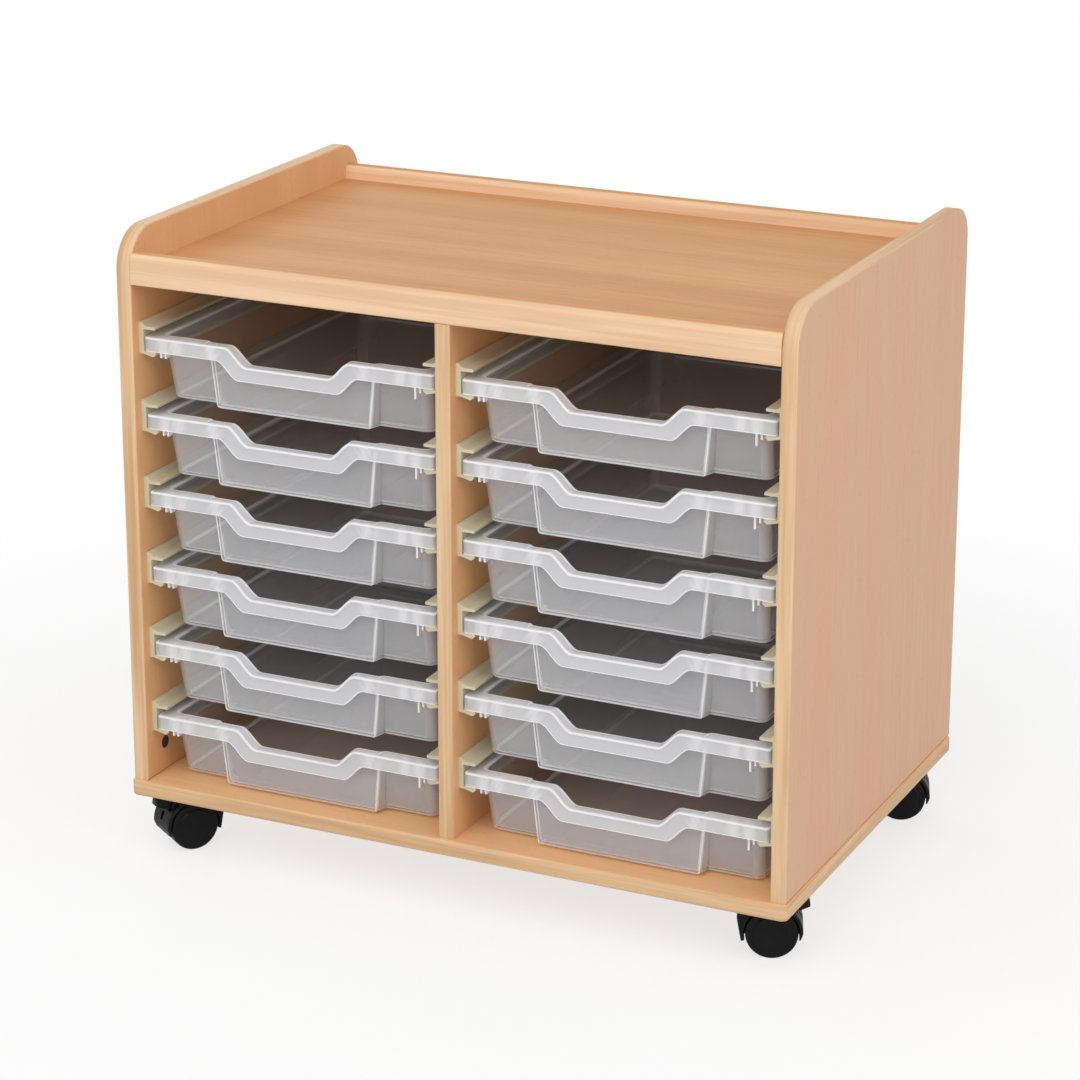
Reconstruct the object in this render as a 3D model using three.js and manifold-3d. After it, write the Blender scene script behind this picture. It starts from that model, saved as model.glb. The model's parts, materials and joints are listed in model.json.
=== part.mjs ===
// Mobile classroom storage unit: a beech-faced board carcass with two bays of
// shallow translucent trays on moulded runners, standing on four twin-wheel castors.
// Millimetres, +Z up. The origin is on the floor under the centre of the base panel,
// X runs to the right, Y to the back, and the trays open towards -Y.

import * as THREE from 'three';
import { mergeVertices } from 'three/addons/utils/BufferGeometryUtils.js';
import Module from 'manifold-3d';

const wasm = await Module();
wasm.setup();

// Boards of the carcass
const BOARD = 16;
const EDGE_ROUND = 2;
const EDGE_STEPS = 2;
const BAY_WIDTH = 325;
const BAY_COUNT = 2;
const CARCASS_DEPTH = 460;
const BASE_SIDE_OVERHANG = 2;
const BASE_FRONT_OVERHANG = 4;
const BASE_CORNER_RADIUS = 7;
const BASE_CORNER_STEPS = 4;
const FRONT_CORNER_RADIUS = 40;
const BACK_CORNER_RADIUS = 34;
const PANEL_CORNER_STEPS = 8;
const RAIL_HEIGHT = 31.5;
const RAIL_CROWN_STEPS = 10;
const GALLERY_RISE = 21;
const BACK_THICKNESS = 8;
const BACK_RECESS = 5;

// Trays and their stacking
const TRAY_ROWS = 6;
const TRAY_PITCH = 78;
const TRAY_HEIGHT = 66;
const TRAY_TOP_GAP = 53;
const TRAY_FLOOR_GAP = 1.5;
const TRAY_SETBACK = 10.5;
const TRAY_BACK_CLEARANCE = 9.5;
const TRAY_WALL = 2;
const TRAY_FLOOR = 2.2;
const TRAY_CORNER_RADIUS = 9;
const TRAY_CORNER_STEPS = 2;
const TRAY_BOTTOM_ROUND = 4;

// Rim of a tray, and the handle band that dips across its front
const RIM_WIDTH = 13.4;
const RIM_LIP_HEIGHT = 14.5;
const RIM_THICKNESS = 2.2;
const RIM_FRONT_DEPTH = 16;
const RIM_BACK_DEPTH = 13;
const RIM_BACK_LIP = 9;
const HANDLE_DIP = 17.5;
const HANDLE_FLAT_HALF = 43;
const HANDLE_SHOULDER_HALF = 67;
const HANDLE_BAND_SPREAD = 10;
const HANDLE_CURVE_STEPS = 4;

// Body of a tray: the middle of its front stands proud of the two ends
const PROUD_HALF_TOP = 90;
const PROUD_HALF_BOTTOM = 83;
const PROUD_FLARE = 4;
const PROUD_STEP_TOP = 4;
const PROUD_STEP_BOTTOM = 14.5;
const END_DRAFT = 12;
const SIDE_DRAFT = 3;
const BACK_DRAFT = 8;
const GUSSET_THICKNESS = 1.6;
const GUSSET_DROP = 12;
const GUSSET_OFFSETS = [82, 121];
const LUG_THICKNESS = 2;
const LUG_DEPTH = 7;
const LUG_SETBACK = 4;
const LUG_INNER_OFFSET = 134;
const LUG_OUTER_OFFSET = 139;
const LUG_DROP = 20.5;
const LUG_LONG_DROP = 27;

// Runners: one moulded channel on each side of each tray
const RUNNER_WEB = 5;
const RUNNER_SIDE_CLEARANCE = 1.5;
const RUNNER_FLANGE = 18;
const RUNNER_TOP_FLANGE = 3;
const RUNNER_BOTTOM_FLANGE = 2.6;
const RUNNER_BOTTOM_RIB = 2.4;
const RUNNER_RIB_OFFSET = 15;
const RUNNER_CREST = 4.2;
const RUNNER_CREST_WIDTH = 2.5;
const RUNNER_HEADROOM = 7.2;
const RUNNER_SETBACK = 12;
const RUNNER_BACK_GAP = 12;
const SLIDE_GAP = 0.3;

// Castors: stem, hood and axle in one moulding and two wheels, and a brake pedal on the front ones
const CASTOR_HEIGHT = 58.5;
const CASTOR_SIDE_INSET = 53;
const CASTOR_FRONT_INSET = 51;
const CASTOR_BACK_INSET = 55;
const CASTOR_TRAIL = 18;
const WHEEL_RADIUS = 25;
const WHEEL_WIDTH = 17.5;
const WHEEL_ROUND = 3;
const WHEEL_DISH = 1.2;
const WHEEL_HUB_RADIUS = 9;
const WHEEL_SIDES = 18;
const HOOD_RADIUS = 29.5;
const HOOD_THICKNESS = 3;
const HOOD_HALF_WIDTH = 19;
const HOOD_DROOP_DEG = 20;
const HOOD_STEPS = 10;
const CASTOR_WEB_HALF = 4;
const WHEEL_GAP = 0.6;
const AXLE_RADIUS = 3;
const WHEEL_CAP = 2;
const NECK_RADIUS = 14;
const STEM_RADIUS = 5;
const STEM_LENGTH = 12;
const FIT_GAP = 0.3;
const ROUND_SIDES = 10;
const PEDAL_PIVOT_DEG = 52;
const PEDAL_WHEEL_GAP = 1;
const PEDAL_BARREL = 3;
const PEDAL_HALF_WIDTH = 11;
const PEDAL_HEEL = 8;
const PEDAL_CROWN_REACH = 5.5;
const PEDAL_CROWN_RISE = 7;
const PEDAL_REACH = 36;
const PEDAL_TIP_RISE = 22.5;
const PEDAL_TIP_HEIGHT = 7;
const PEDAL_TIP_LEAN = 1.5;
const PEDAL_TIP_HALF_WIDTH = 6;
const PEDAL_EAR_WIDTH = 3;
const PEDAL_EAR_RADIUS = 4;
const PEDAL_NOTCH_LOW_DEG = 36;
const PEDAL_NOTCH_HIGH_DEG = 74;
const PEDAL_NOTCH_RADIUS = 20;
const HOOD_SLOT_LOW_DEG = 12;
const HOOD_SLOT_HIGH_DEG = 30;
const HOOD_SLOT_RADIUS = 26;
const HOOD_SLOT_HALF_WIDTH = 2.5;
const HOOD_CUT_STEPS = 4;
const CASTOR_TURNS_DEG = { front_left: -125, front_right: 22, back_left: 200, back_right: 20 };
const BRAKED_CASTORS = ['front_left', 'front_right'];

// Sizes that follow from the ones above
const CARCASS_WIDTH = BAY_COUNT * BAY_WIDTH + (BAY_COUNT + 1) * BOARD;
const INNER_WIDTH = CARCASS_WIDTH - 2 * BOARD;
const INNER_HEIGHT = TRAY_TOP_GAP + (TRAY_ROWS - 1) * TRAY_PITCH + TRAY_HEIGHT + TRAY_FLOOR_GAP;
const PANEL_HEIGHT = INNER_HEIGHT + RAIL_HEIGHT + GALLERY_RISE;
const BASE_WIDTH = CARCASS_WIDTH + 2 * BASE_SIDE_OVERHANG;
const BASE_DEPTH = CARCASS_DEPTH + BASE_FRONT_OVERHANG;
const BASE_TOP = CASTOR_HEIGHT + BOARD;
const CARCASS_FRONT = BASE_FRONT_OVERHANG - BASE_DEPTH / 2;
const CARCASS_BACK = CARCASS_FRONT + CARCASS_DEPTH;
const BACK_FACE = CARCASS_BACK - BACK_RECESS - BACK_THICKNESS;
const TOP_UNDERSIDE = BASE_TOP + INNER_HEIGHT;
const TRAY_WIDTH = BAY_WIDTH - 2 * (RUNNER_WEB + RUNNER_SIDE_CLEARANCE);
const TRAY_LENGTH = BACK_FACE - CARCASS_FRONT - TRAY_SETBACK - TRAY_BACK_CLEARANCE;
const RUNNER_LENGTH = BACK_FACE - CARCASS_FRONT - RUNNER_SETBACK - RUNNER_BACK_GAP;
const END_WALL_MIDDLE = RIM_FRONT_DEPTH - TRAY_WALL / 2;
const PROUD_WALL_MIDDLE = END_WALL_MIDDLE - PROUD_STEP_TOP;
const AXLE_X = CASTOR_TRAIL;
const AXLE_Z = WHEEL_RADIUS;
const WHEEL_INNER = CASTOR_WEB_HALF + WHEEL_GAP;
const WHEEL_OUTER = WHEEL_INNER + WHEEL_WIDTH;
const PEDAL_PIVOT_RADIUS = WHEEL_RADIUS + PEDAL_WHEEL_GAP + PEDAL_EAR_RADIUS;

// Materials
const beech = { color: 0xd4a877, roughness: 0.5, metalness: 0 };
const beechEdge = { color: 0xdeb88c, roughness: 0.45, metalness: 0 };
const beechBack = { color: 0xb98a58, roughness: 0.6, metalness: 0 };
const frosted = { color: 0xe6e8ea, roughness: 0.35, metalness: 0, transparent: true, opacity: 0.55 };
const runnerPlastic = { color: 0xcfc99f, roughness: 0.45, metalness: 0 };
const blackPlastic = { color: 0x242424, roughness: 0.4, metalness: 0 };
const wheelPlastic = { color: 0x2b2b2b, roughness: 0.5, metalness: 0 };

const unit = new THREE.Group();

/** Adds a named mesh with its own material to a group. */
function place(group, name, geometry, look) {
  const mesh = new THREE.Mesh(geometry, new THREE.MeshStandardMaterial(look));
  mesh.name = name;
  group.add(mesh);
  return mesh;
}

/** Turns a closed geometry into a solid that can be joined and cut. */
function toSolid(geometry) {
  const bare = geometry.clone();
  bare.deleteAttribute('normal');
  bare.deleteAttribute('uv');
  const welded = mergeVertices(bare, 1e-4);
  return new wasm.Manifold(new wasm.Mesh({
    numProp: 3,
    vertProperties: Float32Array.from(welded.attributes.position.array),
    triVerts: Uint32Array.from(welded.index.array),
  }));
}

/** Turns a solid back into a geometry with flat faces. */
function toGeometry(solid) {
  const mesh = solid.getMesh();
  const geometry = new THREE.BufferGeometry();
  geometry.setAttribute('position', new THREE.BufferAttribute(Float32Array.from(mesh.vertProperties), 3));
  geometry.setIndex(new THREE.BufferAttribute(Uint32Array.from(mesh.triVerts), 1));
  const flat = geometry.toNonIndexed();
  flat.computeVertexNormals();
  return flat;
}

/** Joins a list of geometries into one solid. */
function joined(geometries) {
  const solids = geometries.map(toSolid);
  return solids.slice(1).reduce((whole, next) => whole.add(next), solids[0]);
}

/** A closed shape from a list of [x, y] pairs. */
function shapeOf(points) {
  return new THREE.Shape(points.map(([x, y]) => new THREE.Vector2(x, y)));
}

/** Points on a circular arc, both ends included, with angles in degrees. */
function arc(cx, cy, radius, startDeg, endDeg, steps) {
  return Array.from({ length: steps + 1 }, (_, i) => {
    const angle = THREE.MathUtils.degToRad(startDeg + ((endDeg - startDeg) * i) / steps);
    return [cx + radius * Math.cos(angle), cy + radius * Math.sin(angle)];
  });
}

/** A box given by its least and greatest corners. */
function block(low, high) {
  const size = high.map((value, i) => value - low[i]);
  const middle = high.map((value, i) => (value + low[i]) / 2);
  return new THREE.BoxGeometry(...size).translate(...middle);
}

/** A plan outline in X and Y raised from z0 to z1. */
function raised(points, z0, z1) {
  const options = { depth: z1 - z0, bevelEnabled: false };
  return new THREE.ExtrudeGeometry(shapeOf(points), options).translate(0, 0, z0);
}

/** A side profile in Y and Z carried along X from x0 to x1. */
function alongX(points, x0, x1) {
  const geometry = new THREE.ExtrudeGeometry(shapeOf(points), { depth: x1 - x0, bevelEnabled: false });
  const axes = new THREE.Matrix4().makeBasis(
    new THREE.Vector3(0, 1, 0), new THREE.Vector3(0, 0, 1), new THREE.Vector3(1, 0, 0));
  return geometry.applyMatrix4(axes).translate(x0, 0, 0);
}

/** A front profile in X and Z carried along Y from y0 to y1. */
function alongY(points, y0, y1) {
  const geometry = new THREE.ExtrudeGeometry(shapeOf(points), { depth: y1 - y0, bevelEnabled: false });
  const axes = new THREE.Matrix4().makeBasis(
    new THREE.Vector3(1, 0, 0), new THREE.Vector3(0, 0, 1), new THREE.Vector3(0, -1, 0));
  return geometry.applyMatrix4(axes).translate(0, y1, 0);
}

/** A board of the given outline with every edge of both faces rounded over. */
function roundedBoard(points, thickness) {
  return new THREE.ExtrudeGeometry(shapeOf(points), {
    depth: thickness - 2 * EDGE_ROUND,
    bevelEnabled: true,
    bevelThickness: EDGE_ROUND,
    bevelSize: EDGE_ROUND,
    bevelOffset: -EDGE_ROUND,
    bevelSegments: EDGE_STEPS,
  }).translate(0, 0, EDGE_ROUND);
}

/** A closed skin over rings of equal point counts, lowest ring first, each seen anticlockwise. */
function loft(rings) {
  const count = rings[0].length;
  const position = rings.flatMap((ring) => ring.flat());
  const index = [];
  for (let level = 0; level + 1 < rings.length; level += 1) {
    for (let i = 0; i < count; i += 1) {
      const next = (i + 1) % count;
      const a = level * count + i;
      const b = level * count + next;
      index.push(a, b, b + count, a, b + count, a + count);
    }
  }
  const cap = (ring) => THREE.ShapeUtils.triangulateShape(
    ring.map(([x, y]) => new THREE.Vector2(x, y)), []);
  const last = (rings.length - 1) * count;
  cap(rings[0]).forEach(([a, b, c]) => index.push(a, c, b));
  cap(rings[rings.length - 1]).forEach(([a, b, c]) => index.push(last + a, last + b, last + c));
  const geometry = new THREE.BufferGeometry();
  geometry.setAttribute('position', new THREE.Float32BufferAttribute(position, 3));
  geometry.setIndex(index);
  return geometry;
}

/** Rounded plan outline of the base, centred on the origin. */
function basePlan() {
  const x = BASE_WIDTH / 2 - BASE_CORNER_RADIUS;
  const y = BASE_DEPTH / 2 - BASE_CORNER_RADIUS;
  const corners = [[x, -y, -90], [x, y, 0], [-x, y, 90], [-x, -y, 180]];
  const round = ([cx, cy, start]) => arc(cx, cy, BASE_CORNER_RADIUS, start, start + 90, BASE_CORNER_STEPS);
  return corners.flatMap(round);
}

/** Side view of an end panel, with its top corners rounded off. */
function panelProfile() {
  const top = BASE_TOP + PANEL_HEIGHT;
  const front = arc(CARCASS_FRONT + FRONT_CORNER_RADIUS, top - FRONT_CORNER_RADIUS,
    FRONT_CORNER_RADIUS, 90, 180, PANEL_CORNER_STEPS);
  const back = arc(CARCASS_BACK - BACK_CORNER_RADIUS, top - BACK_CORNER_RADIUS,
    BACK_CORNER_RADIUS, 0, 90, PANEL_CORNER_STEPS);
  return [[CARCASS_FRONT, BASE_TOP], [CARCASS_BACK, BASE_TOP], ...back, ...front];
}

/** Side view of a retaining rail with a full half-round top edge. */
function railProfile(front) {
  const radius = BOARD / 2;
  const crown = arc(front + radius, TOP_UNDERSIDE + RAIL_HEIGHT - radius, radius, 0, 180, RAIL_CROWN_STEPS);
  return [[front, TOP_UNDERSIDE], [front + BOARD, TOP_UNDERSIDE], ...crown];
}

/** Swivel axis of each castor as [x, y]. */
function castorSpots() {
  const x = BASE_WIDTH / 2 - CASTOR_SIDE_INSET;
  const front = CASTOR_FRONT_INSET - BASE_DEPTH / 2;
  const back = BASE_DEPTH / 2 - CASTOR_BACK_INSET;
  return {
    front_left: [-x, front], front_right: [x, front], back_left: [-x, back], back_right: [x, back],
  };
}

function buildCarcass() {
  const sockets = Object.values(castorSpots()).map(([x, y]) => {
    const depth = STEM_LENGTH + FIT_GAP;
    const bore = post(STEM_RADIUS + FIT_GAP, CASTOR_HEIGHT - depth, CASTOR_HEIGHT + depth);
    return bore.translate(x, y, 0);
  });
  const board = toSolid(roundedBoard(basePlan(), BOARD).translate(0, 0, CASTOR_HEIGHT));
  const base = sockets.reduce((whole, socket) => whole.subtract(toSolid(socket)), board);
  place(unit, 'base_panel', toGeometry(base), beech);

  const standing = new THREE.Matrix4().makeBasis(
    new THREE.Vector3(0, 1, 0), new THREE.Vector3(0, 0, 1), new THREE.Vector3(1, 0, 0));
  const endPanel = () => roundedBoard(panelProfile(), BOARD).applyMatrix4(standing);
  place(unit, 'left_side_panel', endPanel().translate(-CARCASS_WIDTH / 2, 0, 0), beech);
  place(unit, 'right_side_panel', endPanel().translate(CARCASS_WIDTH / 2 - BOARD, 0, 0), beech);

  const half = BOARD / 2;
  const soft = EDGE_ROUND;
  const dividerPlan = [
    ...arc(-half + soft, CARCASS_FRONT + soft, soft, 180, 270, EDGE_STEPS),
    ...arc(half - soft, CARCASS_FRONT + soft, soft, 270, 360, EDGE_STEPS),
    [half, BACK_FACE], [-half, BACK_FACE],
  ];
  place(unit, 'centre_divider', raised(dividerPlan, BASE_TOP, TOP_UNDERSIDE), beech);

  const span = INNER_WIDTH / 2;
  place(unit, 'top_panel', block([-span, CARCASS_FRONT + BOARD, TOP_UNDERSIDE],
    [span, BACK_FACE - BOARD, TOP_UNDERSIDE + BOARD]), beech);
  place(unit, 'front_rail', alongX(railProfile(CARCASS_FRONT), -span, span), beechEdge);
  place(unit, 'back_rail', alongX(railProfile(BACK_FACE - BOARD), -span, span), beechEdge);
  place(unit, 'back_panel', block([-span, BACK_FACE, BASE_TOP],
    [span, BACK_FACE + BACK_THICKNESS, TOP_UNDERSIDE + BOARD]), beechBack);
}

/** The handle line across a tray's front as [x, z], left to right, at z = level at both ends. */
function handleLine(level, spread, halfWidth) {
  const right = [];
  for (let i = 0; i <= HANDLE_CURVE_STEPS; i += 1) {
    const along = i / HANDLE_CURVE_STEPS;
    const x = THREE.MathUtils.lerp(HANDLE_FLAT_HALF, HANDLE_SHOULDER_HALF, along) + spread;
    const drop = HANDLE_DIP * (1 - THREE.MathUtils.smoothstep(along, 0, 1));
    right.push([x, level - drop]);
  }
  right.push([halfWidth, level]);
  const left = right.map(([x, z]) => [-x, z]).reverse();
  return [...left, ...right];
}

/** Plan ring of the tray body at one height: depth 0 is the rim, 1 is the floor. */
function trayRing(depth, z, inset) {
  const mix = (top, bottom) => THREE.MathUtils.lerp(top, bottom, depth);
  const rimEdge = TRAY_WIDTH / 2 - RIM_WIDTH + TRAY_WALL;
  const half = mix(rimEdge, rimEdge - SIDE_DRAFT) - inset;
  const endFront = RIM_FRONT_DEPTH - TRAY_WALL + mix(0, END_DRAFT);
  const endLine = endFront + inset;
  const proudLine = endFront - mix(PROUD_STEP_TOP, PROUD_STEP_BOTTOM) + inset;
  const proudHalf = mix(PROUD_HALF_TOP, PROUD_HALF_BOTTOM) - inset;
  const flareHalf = proudHalf + PROUD_FLARE;
  const backLine = TRAY_LENGTH - RIM_BACK_DEPTH + TRAY_WALL - mix(0, BACK_DRAFT) - inset;
  const radius = TRAY_CORNER_RADIUS - inset / 2;
  const corner = (x, y, start) => arc(x, y, radius, start, start + 90, TRAY_CORNER_STEPS);
  return [
    [-proudHalf, proudLine],
    [proudHalf, proudLine],
    [flareHalf, endLine],
    ...corner(half - radius, endLine + radius, -90),
    ...corner(half - radius, backLine - radius, 0),
    ...corner(-half + radius, backLine - radius, 90),
    ...corner(-half + radius, endLine + radius, 180),
    [-flareHalf, endLine],
  ].map(([x, y]) => [x, y, z]);
}

/** Front view of the rim: a flat top with a lip turned down at each side. */
function rimProfile() {
  const half = TRAY_WIDTH / 2;
  const inside = half - RIM_THICKNESS;
  return [
    [-half, -RIM_LIP_HEIGHT], [-inside, -RIM_LIP_HEIGHT], [-inside, -RIM_THICKNESS],
    [inside, -RIM_THICKNESS], [inside, -RIM_LIP_HEIGHT], [half, -RIM_LIP_HEIGHT],
    [half, 0], [-half, 0],
  ];
}

/** Upright ribs and lugs under the front of the rim; the inner lug at the right end hangs lowest. */
function trayRibs() {
  const top = -RIM_THICKNESS / 2;
  const gussets = GUSSET_OFFSETS.flatMap((offset) => {
    const y1 = offset < PROUD_HALF_BOTTOM ? PROUD_WALL_MIDDLE : END_WALL_MIDDLE;
    return [offset, -offset - GUSSET_THICKNESS].map((x) => block(
      [x, RIM_THICKNESS / 2, -GUSSET_DROP], [x + GUSSET_THICKNESS, y1, top]));
  });
  const lug = (x, drop) => block(
    [x, LUG_SETBACK, -drop], [x + LUG_THICKNESS, LUG_SETBACK + LUG_DEPTH, top]);
  return [
    ...gussets,
    lug(LUG_INNER_OFFSET, LUG_LONG_DROP),
    lug(LUG_OUTER_OFFSET, LUG_DROP),
    lug(-LUG_INNER_OFFSET - LUG_THICKNESS, LUG_DROP),
    lug(-LUG_OUTER_OFFSET - LUG_THICKNESS, LUG_DROP),
  ];
}

/** One moulded tray, its rim top at z = 0 and the front of its handle band at y = 0. */
function trayGeometry() {
  const half = TRAY_WIDTH / 2;
  const floor = -TRAY_HEIGHT;
  const soft = TRAY_BOTTOM_ROUND;
  const sunk = RIM_THICKNESS / 2;
  const depthAt = (z) => -z / TRAY_HEIGHT;
  const bend = floor + TRAY_FLOOR + soft;
  const outer = loft([
    trayRing(1, floor, soft / 2),
    trayRing(depthAt(floor + soft), floor + soft, 0),
    trayRing(depthAt(-sunk), -sunk, 0),
  ]);
  const inner = loft([
    trayRing(1, floor + TRAY_FLOOR, TRAY_WALL + soft / 2),
    trayRing(depthAt(bend), bend, TRAY_WALL),
    trayRing(depthAt(sunk), sunk, TRAY_WALL),
  ]);
  const rim = alongY(rimProfile(), sunk, TRAY_LENGTH);
  const sky = [[half, HANDLE_DIP], [-half, HANDLE_DIP]];
  const dipCut = alongY([...handleLine(0, 0, half), ...sky], 0, RIM_FRONT_DEPTH + TRAY_WALL);
  const body = toSolid(outer).add(toSolid(rim)).subtract(toSolid(inner)).subtract(toSolid(dipCut));

  const reach = HANDLE_SHOULDER_HALF + RIM_THICKNESS;
  const shelf = [...handleLine(0, 0, reach), ...handleLine(-RIM_THICKNESS, 0, reach).reverse()];
  const face = [...handleLine(0, 0, half),
    ...handleLine(-RIM_LIP_HEIGHT, HANDLE_BAND_SPREAD, half).reverse()];
  const backLip = block([-half + sunk, TRAY_LENGTH - RIM_THICKNESS, -RIM_BACK_LIP],
    [half - sunk, TRAY_LENGTH, -sunk]);
  const band = alongY(face, 0, RIM_THICKNESS);
  const front = joined([band, alongY(shelf, sunk, PROUD_WALL_MIDDLE), ...trayRibs()]);
  return toGeometry(body.add(front).add(toSolid(backLip)));
}

/** Front view of a runner fixed to the board at x = 0 and reaching towards side * x. */
function runnerProfile(side) {
  const rest = -RIM_LIP_HEIGHT - SLIDE_GAP;
  const roof = RUNNER_HEADROOM;
  const foot = rest - RUNNER_BOTTOM_FLANGE;
  const points = [
    [0, foot],
    [RUNNER_WEB, foot],
    [RUNNER_RIB_OFFSET, foot - RUNNER_BOTTOM_RIB],
    [RUNNER_FLANGE, foot],
    [RUNNER_FLANGE, rest],
    [RUNNER_WEB, rest],
    [RUNNER_WEB, roof],
    [RUNNER_FLANGE, roof],
    [RUNNER_FLANGE, roof + RUNNER_TOP_FLANGE],
    [RUNNER_WEB + RUNNER_CREST_WIDTH, roof + RUNNER_TOP_FLANGE],
    [RUNNER_CREST_WIDTH, roof + RUNNER_TOP_FLANGE + RUNNER_CREST],
    [0, roof + RUNNER_TOP_FLANGE + RUNNER_CREST],
  ];
  const mirrored = points.map(([x, z]) => [side * x, z]);
  return side > 0 ? mirrored : mirrored.reverse();
}

function buildTrays() {
  const tray = trayGeometry();
  const bays = [
    { name: 'left', centre: -(BAY_WIDTH + BOARD) / 2 },
    { name: 'right', centre: (BAY_WIDTH + BOARD) / 2 },
  ];
  for (const { name, centre } of bays) {
    for (let row = 0; row < TRAY_ROWS; row += 1) {
      const rimTop = TOP_UNDERSIDE - TRAY_TOP_GAP - row * TRAY_PITCH;
      const label = `${name}_${row + 1}`;
      place(unit, `tray_${label}`, tray, frosted)
        .position.set(centre, CARCASS_FRONT + TRAY_SETBACK, rimTop);
      for (const [hand, side] of [['a', 1], ['b', -1]]) {
        const runner = alongY(runnerProfile(side), 0, RUNNER_LENGTH);
        place(unit, `runner_${label}_${hand}`, runner, runnerPlastic)
          .position.set(centre - (side * BAY_WIDTH) / 2, CARCASS_FRONT + RUNNER_SETBACK, rimTop);
      }
    }
  }
}

/** A cylinder lying along Y between y0 and y1, centred at x and z. */
function rod(radius, y0, y1, x, z, sides) {
  return new THREE.CylinderGeometry(radius, radius, y1 - y0, sides).translate(x, (y0 + y1) / 2, z);
}

/** An upright cylinder between z0 and z1 on the swivel axis. */
function post(radius, z0, z1) {
  return new THREE.CylinderGeometry(radius, radius, z1 - z0, ROUND_SIDES)
    .rotateX(Math.PI / 2).translate(0, 0, (z0 + z1) / 2);
}

/** Pivot of the brake pedal as [x, z] in the castor's own frame. */
function pedalPivot() {
  return arc(AXLE_X, AXLE_Z, PEDAL_PIVOT_RADIUS, PEDAL_PIVOT_DEG, PEDAL_PIVOT_DEG, 1)[0];
}

/** A cut through the hood from a radius outwards, between two angles and half a width each way. */
function hoodCut(radius, lowDeg, highDeg, half) {
  const outline = [
    ...arc(AXLE_X, AXLE_Z, radius, highDeg, lowDeg, HOOD_CUT_STEPS),
    ...arc(AXLE_X, AXLE_Z, 2 * HOOD_RADIUS, lowDeg, highDeg, HOOD_CUT_STEPS),
  ].reverse();
  return toSolid(alongY(outline, -half, half));
}

/** Hood, web, axle, neck and stem of a castor, with wheel spaces, pedal notch and slot cut out. */
function castorBody() {
  const rim = arc(AXLE_X, AXLE_Z, HOOD_RADIUS, -HOOD_DROOP_DEG, 180 + HOOD_DROOP_DEG, HOOD_STEPS);
  const foot = [
    [AXLE_X - 2 * AXLE_RADIUS, AXLE_Z - 2 * AXLE_RADIUS],
    [AXLE_X + 2 * AXLE_RADIUS, AXLE_Z - 2 * AXLE_RADIUS],
  ];
  const hood = alongY([...rim, ...foot], -HOOD_HALF_WIDTH, HOOD_HALF_WIDTH);
  const neckFoot = AXLE_Z + HOOD_RADIUS / 2;
  let body = joined([hood, post(NECK_RADIUS, neckFoot, CASTOR_HEIGHT - FIT_GAP)]);

  const spaceRadius = HOOD_RADIUS - HOOD_THICKNESS;
  const spaceEnd = HOOD_HALF_WIDTH + HOOD_THICKNESS;
  for (const [y0, y1] of [[-spaceEnd, -CASTOR_WEB_HALF], [CASTOR_WEB_HALF, spaceEnd]]) {
    body = body.subtract(toSolid(rod(spaceRadius, y0, y1, AXLE_X, AXLE_Z, 2 * HOOD_STEPS)));
  }
  const [pivotX, pivotZ] = pedalPivot();
  const notchHalf = PEDAL_HALF_WIDTH + FIT_GAP;
  const notch = hoodCut(PEDAL_NOTCH_RADIUS, PEDAL_NOTCH_LOW_DEG, PEDAL_NOTCH_HIGH_DEG, notchHalf);
  const slot = hoodCut(HOOD_SLOT_RADIUS, HOOD_SLOT_LOW_DEG, HOOD_SLOT_HIGH_DEG, HOOD_SLOT_HALF_WIDTH);
  body = body.subtract(notch).subtract(slot);
  const axleEnd = WHEEL_OUTER - WHEEL_CAP - FIT_GAP;
  const trimmings = [rod(AXLE_RADIUS, -axleEnd, axleEnd, AXLE_X, AXLE_Z, ROUND_SIDES)];
  for (const y0 of [-notchHalf - PEDAL_EAR_WIDTH, notchHalf]) {
    trimmings.push(rod(PEDAL_EAR_RADIUS, y0, y0 + PEDAL_EAR_WIDTH, pivotX, pivotZ, ROUND_SIDES));
  }
  trimmings.push(post(STEM_RADIUS, neckFoot + NECK_RADIUS / 2, CASTOR_HEIGHT + STEM_LENGTH));
  return toGeometry(trimmings.reduce((whole, next) => whole.add(toSolid(next)), body));
}

/** One wheel about its own axle line, with a blind bore from its inner face, facing side * y. */
function wheelGeometry(side) {
  const bore = AXLE_RADIUS + FIT_GAP;
  const boreEnd = WHEEL_OUTER - WHEEL_CAP;
  const shoulder = WHEEL_OUTER - WHEEL_DISH;
  const profile = [
    [0, boreEnd],
    [bore, boreEnd],
    [bore, WHEEL_INNER],
    [WHEEL_RADIUS, WHEEL_INNER],
    [WHEEL_RADIUS, shoulder - WHEEL_ROUND],
    [WHEEL_RADIUS - WHEEL_ROUND, shoulder],
    [WHEEL_HUB_RADIUS, WHEEL_OUTER],
    [0, WHEEL_OUTER],
  ].map(([r, y]) => new THREE.Vector2(r, y));
  const wheel = new THREE.LatheGeometry(profile, WHEEL_SIDES);
  return side > 0 ? wheel : wheel.rotateX(Math.PI);
}

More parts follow.
